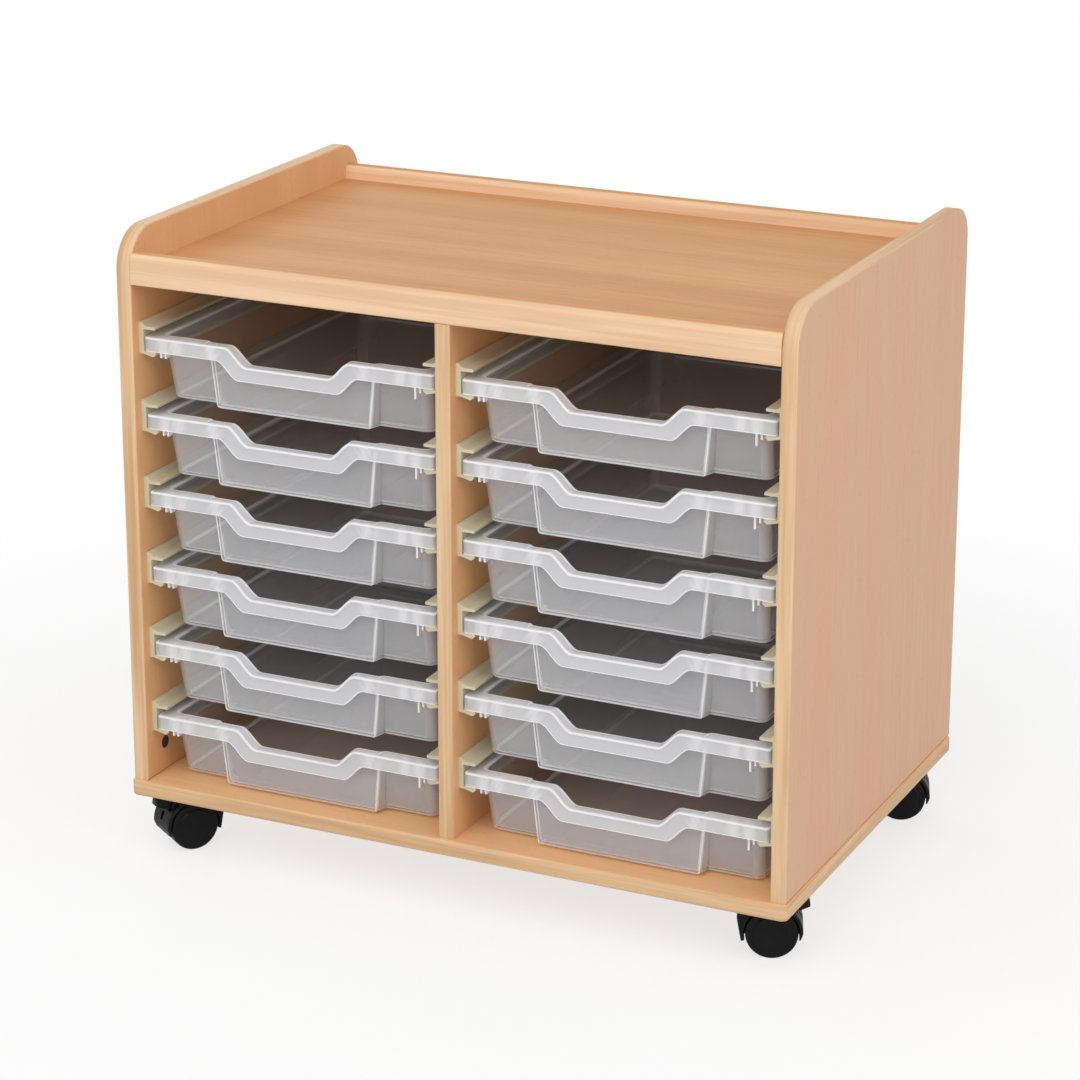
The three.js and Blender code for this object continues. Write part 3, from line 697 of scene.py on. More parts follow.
@dataclass
class Carcass:
    """The boards, mouldings and back of the unit."""

    outside: BeechTone = BeechTone((217, 177, 144), (221, 170, 139), (190, 138, 106))
    # Warmer beech for the faces within the bays: the same foil as outside, warmed as painted bounce light
    inside_painted_bounce: BeechTone = BeechTone((235, 183, 133), (223, 168, 118), (192, 136, 91))
    # Base board: a paler beech, brightened further as a painted sheen of the bright trays reflected in its
    # top
    base: BeechTone = BeechTone((246, 196, 147), (235, 182, 132), (203, 149, 104))
    top: BeechTone = BeechTone((214, 159, 106), (200, 143, 91), (169, 111, 66))
    # Back board: its own beech tone, darkened further as painted shade deep in the bays
    shade: BeechTone = BeechTone((199, 150, 105), (187, 138, 93), (158, 110, 72))
    edging: BeechTone = BeechTone((231, 197, 157), (203, 161, 117), (188, 144, 102))
    moulding: BeechTone = BeechTone((242, 207, 172), (223, 185, 146), (200, 158, 116))
    lively_streaks: float = 0.26
    edge_round: float = 2.0
    edge_steps: int = 5
    front_radius: float = 40.0
    back_radius: float = 34.0
    base_radius: float = 7.0
    square: float = 0.2
    corner_steps: int = 24
    crown_steps: int = 28
    rail_foot_round: float = 1.6

    def board(self, node: str, axis: Axis, radii: Sequence[float]) -> Patch:
        """A flat board with rounded corners and rolled edges.

        Ring i is the outline drawn in by round * (1 - cos a) and lifted from the face by round * (1 - sin a)
        with a from 0 to 90 degrees, first at the one face and then, turned about, at the other.

        Args:
            node: Solid that gives the board's box.
            axis: Direction of its thickness.
            radii: Corner radii from the least corner round.

        Returns:
            The board's surface.
        """
        low, high = millimetres(node)
        across = [(axis.value + 1) % 3, (axis.value + 2) % 3]
        angle = np.linspace(0.0, math.pi / 2, self.edge_steps + 1)
        inset = self.edge_round * (1 - np.sin(angle))
        lift = self.edge_round * (1 - np.cos(angle))
        rails = []
        for depth, height in zip(np.concatenate([inset, inset[::-1]]),
                                 np.concatenate([low[axis.value] + lift, high[axis.value] - lift[::-1]])):
            near = [low[i] + depth for i in across]
            far = [high[i] - depth for i in across]
            rounds = [max(radius - depth, self.square) for radius in radii]
            ring = rounded_rectangle(near, far, rounds, self.corner_steps)
            points = np.full((len(ring), 3), height)
            points[:, across] = ring
            rails.append(points)
        return loft(np.stack(rails))

    def rail(self, node: str) -> Patch:
        """A moulding with a half-round crown, carried along X."""
        low, high = millimetres(node)
        radius = (high[1] - low[1]) / 2
        soft = self.rail_foot_round
        foot = [arc((low[1] + soft, low[2] + soft), soft, 180, 270, self.edge_steps),
                arc((high[1] - soft, low[2] + soft), soft, 270, 360, self.edge_steps)]
        crown = arc((low[1] + radius, high[2] - radius), radius, 0, 180, self.crown_steps)
        return swept(np.concatenate([*foot, crown]), Axis.X, low[0], high[0])

    def divider(self, node: str) -> Patch:
        """An upright with its two front edges rolled over, carried along Z."""
        low, high = millimetres(node)
        soft = self.edge_round
        plan = np.concatenate([
            arc((low[0] + soft, low[1] + soft), soft, 180, 270, self.edge_steps),
            arc((high[0] - soft, low[1] + soft), soft, 270, 360, self.edge_steps),
            np.array([[high[0], high[1]], [low[0], high[1]]]),
        ])
        return swept(plan, Axis.Z, low[2], high[2])

    def build(self) -> None:
        """Builds and dresses every board."""
        side_radii = (self.square, self.square, self.back_radius, self.front_radius)
        # The side boards carry painted warm bounce light on their inner faces
        upright = BeechFinish("beech_side_painted_bounce", Axis.Z, Axis.X, self.outside, self.edging, self.inside_painted_bounce).make()
        for node in ("left_side_panel", "right_side_panel"):
            patch = self.board(node, Axis.X, side_radii)
            patch.show(Tag(f"{node}_face", "carcass", Slot.BOARD, (node,)), upright)
        # The divider stands in the bays and takes the painted warm bounce tone on both faces
        middle = BeechFinish("beech_divider_painted_bounce", Axis.Z, Axis.X, self.inside_painted_bounce, self.edging).make()
        self.divider("centre_divider").show(
            Tag("centre_divider_face", "carcass", Slot.BOARD, ("centre_divider",)), middle)
        # The base board's pale tone is partly its own and partly painted sheen
        base = BeechFinish("beech_base_painted_sheen", Axis.X, Axis.Z, self.base, self.edging,
                           streak_share=self.lively_streaks).make()
        self.board("base_panel", Axis.Z, (self.base_radius,) * 4).show(
            Tag("base_panel_face", "carcass", Slot.BOARD, ("base_panel",)), base)
        crown = BeechFinish("beech_moulding", Axis.X, Axis.Z, self.top, self.moulding).make()
        for node in ("front_rail", "back_rail"):
            self.rail(node).show(Tag(f"{node}_moulding", "carcass", Slot.EDGE, (node,)), crown)
        dress("top_panel", BeechFinish("beech_top", Axis.X, Axis.Z, self.top, self.edging).make())
        # The back board's darker tone is partly painted shade
        dress("back_panel", BeechFinish("beech_back", Axis.Z, Axis.Y, self.shade, self.edging).make())


@dataclass
class CamFitting:
    """The round cam that locks a side panel to the base, set in the panel's inner face near the front."""

    radius: float = 6.5
    rim: float = 0.9
    sunk: float = 0.5
    proud: float = 0.4
    dish: float = 0.25
    soft: float = 0.15
    slot_half: tuple[float, float] = (4.0, 0.8)
    slot_rise: float = 0.2
    slot_lean_deg: float = 55.0
    setback: float = 34.0
    height: float = 30.0
    segments: int = 40

    def cam(self) -> Patch:
        """A flat disc with a raised rim, turned about Z, and a bar across it for the driver."""
        inner = self.radius - self.rim
        face = self.proud - self.dish
        profile = np.array([
            [self.soft, -self.sunk], [self.radius, -self.sunk], [self.radius, self.proud - self.soft],
            [self.radius - self.soft, self.proud], [inner + self.soft, self.proud], [inner, face],
            [self.soft, face],
        ])
        lean = math.radians(self.slot_lean_deg)
        turn = np.array([[math.cos(lean), math.sin(lean)], [-math.sin(lean), math.cos(lean)]])
        length, width = self.slot_half
        bar = np.array([[-length, -width], [length, -width], [length, width], [-length, width]]) @ turn
        return Patch.merged([lathe(profile, self.segments),
                             swept(bar, Axis.Z, face - self.soft, face + self.slot_rise)])

    def build(self, node: str, side: int, material: bpy.types.Material) -> None:
        """Sets one fitting in a side panel.

        Args:
            node: The panel's solid.
            side: 1 where the panel's inner face looks towards +X, else -1.
            material: Dark metal.
        """
        low, high = millimetres(node)
        floor = millimetres("base_panel")[1][2]
        place = np.array([high[0] if side > 0 else low[0], low[1] + self.setback, floor + self.height])
        along = np.array([0.0, 1.0, 0.0])
        up = np.array([0.0, 0.0, 1.0])
        axes = (along, up) if side > 0 else (up, along)
        self.cam().turned(*axes, place).show(Tag(f"{node}_cam", "carcass", Slot.CASTOR), material)


def dress(node: str, material: bpy.types.Material) -> None:
    """Gives a solid of the frame a finish."""
    solid = frame["nodes"][node]
    solid.data.materials.clear()
    solid.data.materials.append(material)
    LOG.info("%s: dressed", node)


@dataclass
class Tray:
    """One moulded tray: drafted shell, rim with turned-down lips, dipping handle band, ribs and lugs."""

    wall: float = 2.0
    floor: float = 2.2
    corner: float = 9.0
    bottom_round: float = 4.0
    rim_width: float = 13.4
    lip: float = 14.5
    rim_thickness: float = 2.2
    rim_round: float = 0.9
    front_depth: float = 16.0
    back_depth: float = 13.0
    back_lip: float = 9.0
    rim_corner: float = 3.0
    dip: float = 17.5
    flat_half: float = 43.0
    shoulder_half: float = 67.0
    band_spread: float = 10.0
    proud_half: tuple[float, float] = (90.0, 83.0)
    proud_step: tuple[float, float] = (4.0, 14.5)
    flare: float = 4.0
    end_draft: float = 12.0
    side_draft: float = 3.0
    back_draft: float = 8.0
    gusset_offsets: tuple[float, ...] = (82.0, 121.0)
    gusset_width: float = 1.6
    gusset_drop: float = 12.0
    lug_inner: float = 134.0
    lug_outer: float = 139.0
    lug_drop: float = 20.5
    lug_long_drop: float = 27.0
    lug_width: float = 2.0
    lug_setback: float = 4.0
    lug_depth: float = 7.0
    rib_soft: float = 0.5
    edge_glow: float = 1.4
    edge_milk: float = 1.0
    front_milk: float = 0.26
    step_milk: float = 0.36
    corner_milk: float = 0.31
    band_milk: float = 0.4
    ledge_milk: float = 0.53
    rib_milk: float = 1.0
    mark_milk: float = 0.15
    mark_half: float = 5.0
    front_steps: int = 96
    end_steps: int = 14
    step_steps: int = 4
    corner_steps: int = 8
    side_steps: int = 16
    fillet_steps: int = 4

    def measure(self, node: str) -> None:
        """Takes the tray's half width, length and height from its solid."""
        low, high = millimetres(node)
        self.half = (high[0] - low[0]) / 2
        self.length = high[1] - low[1]
        self.height = high[2] - low[2]
        self.origin = np.array([(low[0] + high[0]) / 2, low[1], high[2]])

    def loop(self, proud: float, proud_line: float, flare: float, end_line: float,
             half: float, back: float, radius: float) -> Array:
        """Plan outline with the same stations at every level, anticlockwise from the front's left.

        The front runs straight over the proud middle, steps back over the flare and goes on to the corner;
        quarter circles join it to the sides and the back.

        Args:
            proud: Half length of the proud middle.
            proud_line: Its depth behind the band.
            flare: Half length where the step has come back.
            end_line: Depth of the two ends of the front.
            half: Half width.
            back: Depth of the back.
            radius: Corner radius.

        Returns:
            Stations as X and Y.
        """
        def line(a: tuple[float, float], b: tuple[float, float], steps: int) -> Array:
            """Points from a up to but without b."""
            return np.linspace(a, b, steps, endpoint=False)

        def crowded(a: tuple[float, float], b: tuple[float, float]) -> Array:
            """Points from a up to but without b, closer together at both ends."""
            share = (1.0 - np.cos(np.linspace(0.0, math.pi, self.side_steps, endpoint=False))) / 2.0
            return np.array(a) + share[:, None] * (np.array(b) - np.array(a))

        def corner(x: float, y: float, start: float) -> Array:
            """Quarter circle without its last point."""
            return arc((x, y), radius, start, start + 90.0, self.corner_steps)[:-1]

        right = half - radius
        near = end_line + radius
        far = back - radius
        return np.concatenate([
            line((-proud, proud_line), (proud, proud_line), self.front_steps),
            line((proud, proud_line), (flare, end_line), self.step_steps),
            line((flare, end_line), (right, end_line), self.end_steps),
            corner(right, near, -90.0),
            crowded((half, near), (half, far)),
            corner(right, far, 0.0),
            crowded((right, back), (-right, back)),
            corner(-right, far, 90.0),
            crowded((-half, far), (-half, near)),
            corner(-right, near, 180.0),
            line((-right, end_line), (-flare, end_line), self.end_steps),
            line((-flare, end_line), (-proud, proud_line), self.step_steps),
        ])

    def upright_milk(self) -> Array:
        """Milk value of each station of the walls: a little in steps and corners, most at the proud ends."""
        step = (self.step_milk, self.step_steps)
        corner = (self.corner_milk, self.corner_steps)
        end = (self.front_milk, self.end_steps)
        side = (0.0, self.side_steps)
        stretches = [(self.front_milk, self.front_steps), step, end, corner, side, corner,
                     side, corner, side, corner, end, step]
        values, counts = zip(*stretches)
        milk = np.repeat(values, counts)
        milk[[0, self.front_steps]] = self.edge_milk
        return milk

    def level(self, depth: float, inset: float) -> Array:
        """Plan outline of the body: depth 0 at the rim and 1 at the floor, drawn in by an inset."""
        edge = self.half - self.rim_width + self.wall
        end_line = self.front_depth - self.wall + depth * self.end_draft
        step = self.proud_step[0] + depth * (self.proud_step[1] - self.proud_step[0])
        proud = self.proud_half[0] + depth * (self.proud_half[1] - self.proud_half[0]) - inset
        back = self.length - self.back_depth + self.wall - depth * self.back_draft
        return self.loop(proud, end_line - step + inset, proud + self.flare, end_line + inset,
                         edge - depth * self.side_draft - inset, back - inset, self.corner - inset / 2)

    def body_ring(self, height: Array, inset: float) -> Array:
        """Ring of the body at a height for each station, mixed straight between rim and floor outlines.

        Args:
            height: Height of each station below zero at the rim.
            inset: How far the ring is drawn in.

        Returns:
            Points of the ring.
        """
        depth = (-height / self.height)[:, None]
        plan = self.level(0.0, inset) * (1 - depth) + self.level(1.0, inset) * depth
        return np.column_stack([plan, height])

    def rim_plan(self, inset: float) -> Array:
        """Outer outline of the rim, station by station with the body's, drawn in by an inset."""
        proud = self.proud_half[0]
        return self.loop(proud, inset, proud + self.flare, inset, self.half - inset,
                         self.length - inset, self.rim_corner)

    def drop(self, across: Array, spread: float) -> Array:
        """Dip of the handle line at a distance from the middle.

        The line falls by 3 s^2 - 2 s^3 of the dip, with s from 0 at the shoulder to 1 at the flat.

        Args:
            across: Distance from the tray's middle.
            spread: Extra half width of the dip.

        Returns:
            How far the line lies under the rim.
        """
        run = self.shoulder_half - self.flat_half
        return self.dip * smooth((self.shoulder_half + spread - np.abs(across)) / run)

    def sink_marks(self, ring: Array) -> Array:
        """Milk that each station of the band gains where a gusset or a pair of lugs stands behind it.

        Args:
            ring: Stations of one ring of the rim.

        Returns:
            The gain, full at the mark and faded out at one and a half times its half width.
        """
        places = (*self.gusset_offsets, (self.lug_inner + self.lug_outer) / 2)
        away = np.min([np.abs(np.abs(ring[:, 0]) - place) for place in places], axis=0)
        gain = self.mark_milk * smooth(1.5 - away / self.mark_half)
        return np.where(ring[:, 1] < self.front_depth, gain, 0.0)

    def moulding(self) -> Patch:
        """The whole moulding as one surface from the outer floor over the rim to the inner floor.

        Ring by ring it climbs the drafted outer wall, runs out under the rim, round the lip and back over the
        top, and goes down the inner wall. The rim height of each station follows the handle line.

        Returns:
            The closed surface, with its milk values.
        """
        plan = self.rim_plan(0.0)
        in_front = plan[:, 1] < self.front_depth
        top = np.where(in_front, -self.drop(plan[:, 0], 0.0), 0.0)
        spread = np.where(in_front, np.interp(
            np.abs(plan[:, 0]), (0.0, self.flat_half, self.shoulder_half, self.half - self.rim_corner),
            (0.0, self.band_spread, self.band_spread, 0.0)), 0.0) * np.sign(plan[:, 0])
        foot_x = plan[:, 0] + spread
        back_lip = (self.length - 2 * self.rim_corner, self.length)
        lip = np.interp(plan[:, 1], back_lip, (self.lip, self.back_lip))
        foot = np.where(in_front, -self.drop(foot_x, self.band_spread), 0.0) - lip
        level = np.ones(len(plan))
        curve = np.linspace(0.0, math.pi / 2, self.fillet_steps + 1)
        soft = self.bottom_round
        small = self.rim_round
        thick = self.rim_thickness
        wall = self.upright_milk()
        rings: list[Array] = []
        milk: list[Array] = []

        def body(height: Array, inset: float, shade: float) -> None:
            """Adds a ring on the walls, no less milky than a shade."""
            rings.append(self.body_ring(height, inset))
            milk.append(np.maximum(wall, shade))

        def rim(inset: float, height: Array, share: float, shade: float) -> None:
            """Adds a ring on the rim, with its share of the foot's sideways spread."""
            ring = np.column_stack([self.rim_plan(inset), height])
            ring[:, 0] += share * spread
            rings.append(ring)
            milk.append(np.minimum(self.sink_marks(ring) + shade, 1.0))

        glow = self.edge_glow
        band = self.band_milk
        ledge = self.ledge_milk
        edge = self.edge_milk
        for a in curve:
            body(-level * (self.height - soft * (1 - math.cos(a))), soft * (1 - math.sin(a)),
                 edge * math.sin(2 * a))
        under = top - thick
        body(under - glow, 0.0, 0.0)
        body(under, 0.0, edge)
        rim(thick, under, 0.0, band)
        rim(thick, foot + small / 2, 1.0, band)
        rim(thick - small / 2, foot, 1.0, edge)
        rim(small / 2, foot, 1.0, edge)
        rim(0.0, foot + small / 2, 1.0, edge)
        rise = top - foot
        for height in (foot + glow, top - small - glow):
            rim(0.0, height, (top - height) / rise, band)
        for a in curve:
            rim(small * (1 - math.cos(a)), top - small * (1 - math.sin(a)), 0.0, edge)
        rim(small + glow, top, 0.0, ledge)
        body(top, -glow, ledge)
        for a in curve:
            body(top - small * (1 - math.cos(a)), self.wall - small * (1 - math.sin(a)), edge)
        body(under - glow, self.wall, 0.0)
        inner_floor = self.height - self.floor
        for a in curve:
            body(-level * (inner_floor - soft * (1 - math.sin(a))), self.wall + soft * (1 - math.cos(a)),
                 edge * math.sin(2 * a))
        surface = loft(np.stack(rings))
        surface.milk = np.concatenate(milk)
        return surface

    def rib(self, left: float, width: float, front: float, back: float, drop: float) -> Patch:
        """One upright plate under the rim.

        Args:
            left: Its left face.
            width: Its thickness.
            front: Depth of its front behind the band.
            back: Depth of its back.
            drop: How far it hangs below the rim's top.

        Returns:
            The plate with its milk values.
        """
        top = -self.rim_thickness / 2
        corners = np.array([[front, -drop], [back, -drop], [back, top], [front, top]])
        plate = swept(softened(corners, self.rib_soft, self.fillet_steps), Axis.X, left, left + width)
        plate.milk = np.full(len(plate.points), self.rib_milk)
        return plate

    def ribs(self) -> list[Patch]:
        """Gussets behind the band and stop lugs under the rim's front corners, one of them longer."""
        plates = []
        for offset in self.gusset_offsets:
            proud = offset < self.proud_half[1]
            back = self.front_depth - self.wall / 2 - (self.proud_step[0] if proud else 0.0)
            front = self.rim_thickness / 2
            for left in (offset, -offset - self.gusset_width):
                plates.append(self.rib(left, self.gusset_width, front, back, self.gusset_drop))
        lugs = {
            self.lug_inner: self.lug_long_drop,
            self.lug_outer: self.lug_drop,
            -self.lug_inner - self.lug_width: self.lug_drop,
            -self.lug_outer - self.lug_width: self.lug_drop,
        }
        behind = self.lug_setback + self.lug_depth
        plates.extend(self.rib(left, self.lug_width, self.lug_setback, behind, drop)
                      for left, drop in lugs.items())
        return plates

    def build(self, node: str, material: bpy.types.Material) -> None:
        """Builds one tray in the place of its solid.

        Args:
            node: The tray's solid, which is also its body.
            material: Frosted plastic.
        """
        self.measure(node)
        whole = Patch.merged([self.moulding(), *self.ribs()])
        whole.points = whole.points + self.origin
        whole.show(Tag(f"{node}_moulding", node, Slot.TRAY, (node,)), material)


@dataclass
class Runner:
    """One moulded channel that guides a side of a tray."""

    web: float = 5.0
    top_flange: float = 3.0
    bottom_flange: float = 2.6
    rib: float = 2.4
    rib_offset: float = 15.0
    crest: float = 4.2
    crest_width: float = 2.5
    soft: float = 0.7
    soft_steps: int = 3

    def build(self, node: str, side: int, material: bpy.types.Material) -> None:
        """Builds one runner in the place of its solid.

        Args:
            node: The runner's solid.
            side: 1 where the channel opens towards +X, else -1.
            material: Runner plastic.
        """
        low, high = millimetres(node)
        reach = high[0] - low[0]
        wall = low[0] if side > 0 else high[0]
        roof = high[2] - self.crest
        foot = low[2] + self.rib
        rest = foot + self.bottom_flange
        across = [0, self.web, self.rib_offset, reach, reach, self.web,
                  self.web, reach, reach, self.web + self.crest_width, self.crest_width, 0]
        up = [foot, foot, low[2], foot, rest, rest, roof - self.top_flange, roof - self.top_flange,
              roof, roof, high[2], high[2]]
        outline = np.column_stack([up, wall + side * np.array(across, float)])
        outline = outline[::-1] if side > 0 else outline
        bar = swept(softened(outline, self.soft, self.soft_steps), Axis.Y, low[1], high[1])
        bar.show(Tag(f"{node}_channel", "carcass", Slot.RUNNER, (node,)), material)


@dataclass
class Castor:
    """A twin-wheel castor: hood over a web, neck, axle, two wheels and, at the front, a brake pedal.

    It is drawn with X along the roll, Y along the axle and the origin at the axle's middle.
    """

    wheel_round: float = 3.0
    dish: float = 1.2
    dish_width: float = 4.5
    bore: float = 3.3
    cap: float = 2.0
    pole: float = 0.05
    segments: int = 72
    hood_radius: float = 29.5
    wheel_space: float = 26.5
    hood_half: float = 19.0
    hood_edge: float = 2.2
    front_droop: float = 14.0
    back_droop: float = 16.0
    lip_thin: float = 1.4
    lip_run: float = 14.0
    back_reach: float = 30.4
    back_lean: float = 0.186
    shoulder_rise: float = 7.5
    shoulder_from: float = 95.0
    shoulder_run: float = 50.0
    shoulder_soft: float = 0.8
    hood_step: float = 2.0
    hood_columns: int = 8
    notch: tuple[float, float] = (36.0, 74.0)
    notch_half: float = 11.3
    notch_radius: float = 20.0
    slot: tuple[float, float] = (12.0, 30.0)
    slot_half: float = 2.5
    web_half: float = 4.0
    web_sink: float = 0.2
    web_foot: float = 6.0
    neck_radius: float = 14.0
    neck_foot: float = 14.75
    neck_top: float = 33.2
    neck_soft: float = 1.2
    axle_radius: float = 3.0
    axle_half: float = 19.8
    pivot: tuple[float, float] = (18.47, 23.64)
    barrel: float = 3.0
    ear_radius: float = 4.0
    ear_width: float = 3.0
    ear_soft: float = 0.6
    heel: tuple[float, float] = (26.47, 20.64)
    tip_low: tuple[float, float] = (36.0, 22.5)
    tip_high: tuple[float, float] = (34.5, 29.5)
    crown: tuple[float, float] = (23.97, 30.64)
    pedal_half: float = 11.0
    tip_half: float = 6.0
    pedal_soft: float = 1.3
    pedal_end: float = 0.8
    curve_steps: int = 5

    def frame_of(self, corner: Corner) -> tuple[Array, Array, Array, Array]:
        """Reads a castor's place from its joints.

        Args:
            corner: Which castor.

        Returns:
            Rolling direction, axle direction, swivel point and axle point in millimetres.
        """
        joints = {joint["name"]: joint for joint in frame["joints"]}
        spin = joints[f"castor_{corner.value}_wheel_a_spin"]
        swivel = joints[f"castor_{corner.value}_swivel"]
        axle = np.array(spin["axis"], float)
        rolling = np.cross(axle, (0.0, 0.0, 1.0))
        return rolling, axle, np.array(swivel["pos_m"]) / MM, np.array(spin["pos_m"]) / MM

    def wheel(self, inner: float, outer: float, radius: float) -> Patch:
        """A wheel turned about its axle from a closed profile of radius and distance from the middle.

        Point (i, j) is profile point i at angle j round the axle, which lies along Y.

        Args:
            inner: Distance of the inner face from the castor's middle.
            outer: Distance of the outer face.
            radius: Radius of the tread.

        Returns:
            The wheel's surface.
        """
        soft = self.wheel_round
        shoulder = outer - self.dish
        face = radius - soft - self.dish_width
        profile = np.concatenate([
            [[self.pole, outer - self.cap], [self.bore, outer - self.cap], [self.bore, inner]],
            arc((radius - soft, inner + soft), soft, -90, 0, self.curve_steps),
            arc((radius - soft, shoulder - soft), soft, 0, 90, self.curve_steps),
            [[face + self.dish, shoulder], [face, outer], [face / 2, outer], [self.pole, outer]],
        ])
        return lathe(profile, self.segments).laid()

    def hood_reach(self, angle: Array) -> Array:
        """Outer radius of the hood at angles in degrees from the rolling direction.

        In front it is the hood's own radius, thinned towards the lip. Behind, it is the lesser, softly
        blended, of the straight leaning line of the back and a shoulder that swells out from the crown.

        Args:
            angle: Angles from the front lip over the crown to the back lip.

        Returns:
            Radius at each angle.
        """
        turn = np.radians(angle)
        lip = self.lip_thin * smooth((self.lip_run - self.front_droop - angle) / self.lip_run)
        swell = self.shoulder_rise * smooth((angle - self.shoulder_from) / self.shoulder_run)
        shoulder = self.hood_radius - lip + swell
        slope = np.maximum(-np.cos(turn) - self.back_lean * np.sin(turn), 0.1)
        line = self.back_reach / slope
        soft = self.shoulder_soft
        return -soft * np.log(np.exp(-shoulder / soft) + np.exp(-line / soft))

    def hood(self) -> Patch:
        """The hood as a wall bent round the axle, left open at the pedal's notch and at the slot below it.

        The outer skin at angle a and place y lies at the hood's reach for a, less the fall of a quarter
        circle towards either end of y. The inner skin is the round wheel space.

        Returns:
            The hood's surface.
        """
        angle = np.arange(180.0 + self.back_droop, -self.front_droop - self.hood_step / 2, -self.hood_step)
        half = self.hood_half
        knots = (self.slot_half, self.notch_half, half - self.hood_edge, half)
        stretches = [np.linspace(a, b, self.hood_columns) for a, b in zip((0.0, *knots), knots)]
        right = np.unique(np.concatenate(stretches).round(6))
        place = np.concatenate([-right[:0:-1], right])
        over = np.clip(np.abs(place) - (half - self.hood_edge), 0.0, self.hood_edge)
        fall = self.hood_edge - np.sqrt(self.hood_edge ** 2 - over ** 2)
        turn = np.radians(angle)[:, None]

        def skin(reach: Array) -> Array:
            """Grid of points at a reach from the axle."""
            grid = np.broadcast_arrays(reach * np.cos(turn), place[None, :], reach * np.sin(turn))
            return np.stack(grid, axis=-1)

        outer = skin(np.maximum(self.hood_reach(angle)[:, None] - fall, self.wheel_space + self.web_sink))
        inner = skin(np.full((len(angle), len(place)), self.wheel_space))
        middle = (angle[:-1] + angle[1:]) / 2
        aside = np.abs(place[:-1] + place[1:]) / 2
        kept = np.ones((len(middle), len(aside)), bool)
        for (low, high), width in ((self.notch, self.notch_half), (self.slot, self.slot_half)):
            kept &= ~(((middle > low) & (middle < high))[:, None] & (aside < width)[None, :])
        return shell(outer, inner, kept)

    def plate(self, outline: Array, half: float) -> Patch:
        """Carries an anticlockwise outline in X and Z along the axle, half a width each way."""
        return swept(outline[::-1, ::-1], Axis.Y, -half, half)

    def web(self) -> Patch:
        """The plate between the wheels: a round edge under the hood, set back at the notch, and a foot."""
        edge = self.wheel_space + self.web_sink
        low, high = self.notch
        steps = self.segments // 4
        foot = self.web_foot
        return self.plate(np.concatenate([
            arc((0, 0), edge, -self.front_droop, low, steps),
            arc((0, 0), self.notch_radius, low, high, steps),
            arc((0, 0), edge, high, 180 + self.back_droop, steps),
            [[-foot, -foot], [foot, -foot]],
        ]), self.web_half)

    def post(self, radius: float, low: float, high: float, soft: float) -> Patch:
        """An upright round bar with its two ends rounded, about Z."""
        profile = np.concatenate([
            [[self.pole, low]],
            arc((radius - soft, low + soft), soft, -90, 0, self.curve_steps),
            arc((radius - soft, high - soft), soft, 0, 90, self.curve_steps),
            [[self.pole, high]],
        ])
        return lathe(profile, self.segments)

    def body(self, trail: float) -> Patch:
        """Hood, web, neck, axle and the two ears of the pedal's pivot.

        Args:
            trail: Distance of the swivel behind the axle.

        Returns:
            Their surfaces as one.
        """
        neck = self.post(self.neck_radius, self.neck_foot, self.neck_top, self.neck_soft)
        neck.points = neck.points - (trail, 0.0, 0.0)
        axle = self.post(self.axle_radius, -self.axle_half, self.axle_half, self.ear_soft).laid()
        x, z = self.pivot
        near = self.notch_half
        ears = [self.post(self.ear_radius, y, y + self.ear_width, self.ear_soft).laid((x, 0.0, z))
                for y in (-near - self.ear_width, near)]
        return Patch.merged([self.hood(), self.web(), neck, axle, *ears])

    def pedal(self) -> Patch:
        """The brake pedal: a barrel on the pivot that grows into a tab, narrower at its tip.

        Ring i is the side outline at share t of the half width, from -1 to 1. Point j of it stands at t times
        the half width at its own reach, and the two end rings are drawn in towards the outline's middle.

        Returns:
            The pedal's surface.
        """
        barrel = arc(self.pivot, self.barrel, 90, 270, 2 * self.curve_steps)
        tab = np.array([self.heel, self.tip_low, self.tip_high, self.crown])
        outline = softened(np.concatenate([barrel, tab]), self.pedal_soft, self.curve_steps)
        reach = np.interp(outline[:, 0], (self.heel[0], self.tip_low[0]), (self.pedal_half, self.tip_half))
        inward = outline.mean(axis=0) - outline
        inward /= np.linalg.norm(inward, axis=1, keepdims=True)
        angle = np.linspace(-math.pi / 2, math.pi / 2, 2 * self.curve_steps + 1)
        flat = reach - self.pedal_end
        across = np.sign(angle)[:, None] * flat + self.pedal_end * np.sin(angle)[:, None]
        drawn = outline + self.pedal_end * (1.0 - np.cos(angle))[:, None, None] * inward
        rails = np.stack([drawn[..., 0], across, drawn[..., 1]], axis=-1)
        return loft(rails[:, ::-1])

    def build(self, corner: Corner, hood: bpy.types.Material, tyre: bpy.types.Material) -> None:
        """Builds one castor in the place of its solids.

        Args:
            corner: Which castor.
            hood: Hood plastic.
            tyre: Wheel plastic.
        """
        rolling, axle, swivel, centre = self.frame_of(corner)
        name = f"castor_{corner.value}"
        for hand, side in (("a", 1), ("b", -1)):
            node = f"{name}_wheel_{hand}"
            points = np.array([v.co for v in frame["nodes"][node].data.vertices], float) / MM - centre
            reach = points @ axle * side
            wheel = self.wheel(reach.min(), reach.max(), points[:, 2].max())
            wheel = wheel.turned(rolling * side, axle * side, centre)
            wheel.show(Tag(f"{node}_tyre", node, Slot.WHEEL, (node,)), tyre)
        trail = float((centre - swivel) @ rolling)
        body = self.body(trail).turned(rolling, axle, centre)
        body.show(Tag(f"{name}_hood", name, Slot.CASTOR, (f"{name}_body",)), hood)
        lever = f"{name}_pedal"
        if lever in frame["nodes"]:
            pedal = self.pedal().turned(rolling, axle, centre)
            pedal.show(Tag(f"{name}_lever", lever, Slot.CASTOR, (lever,)), hood)


@dataclass(frozen=True)
class Lamp:
    """A square soft lamp: power in watts, side and place in metres."""

    name: str
    power: float
    size: float
    place: tuple[float, float, float]


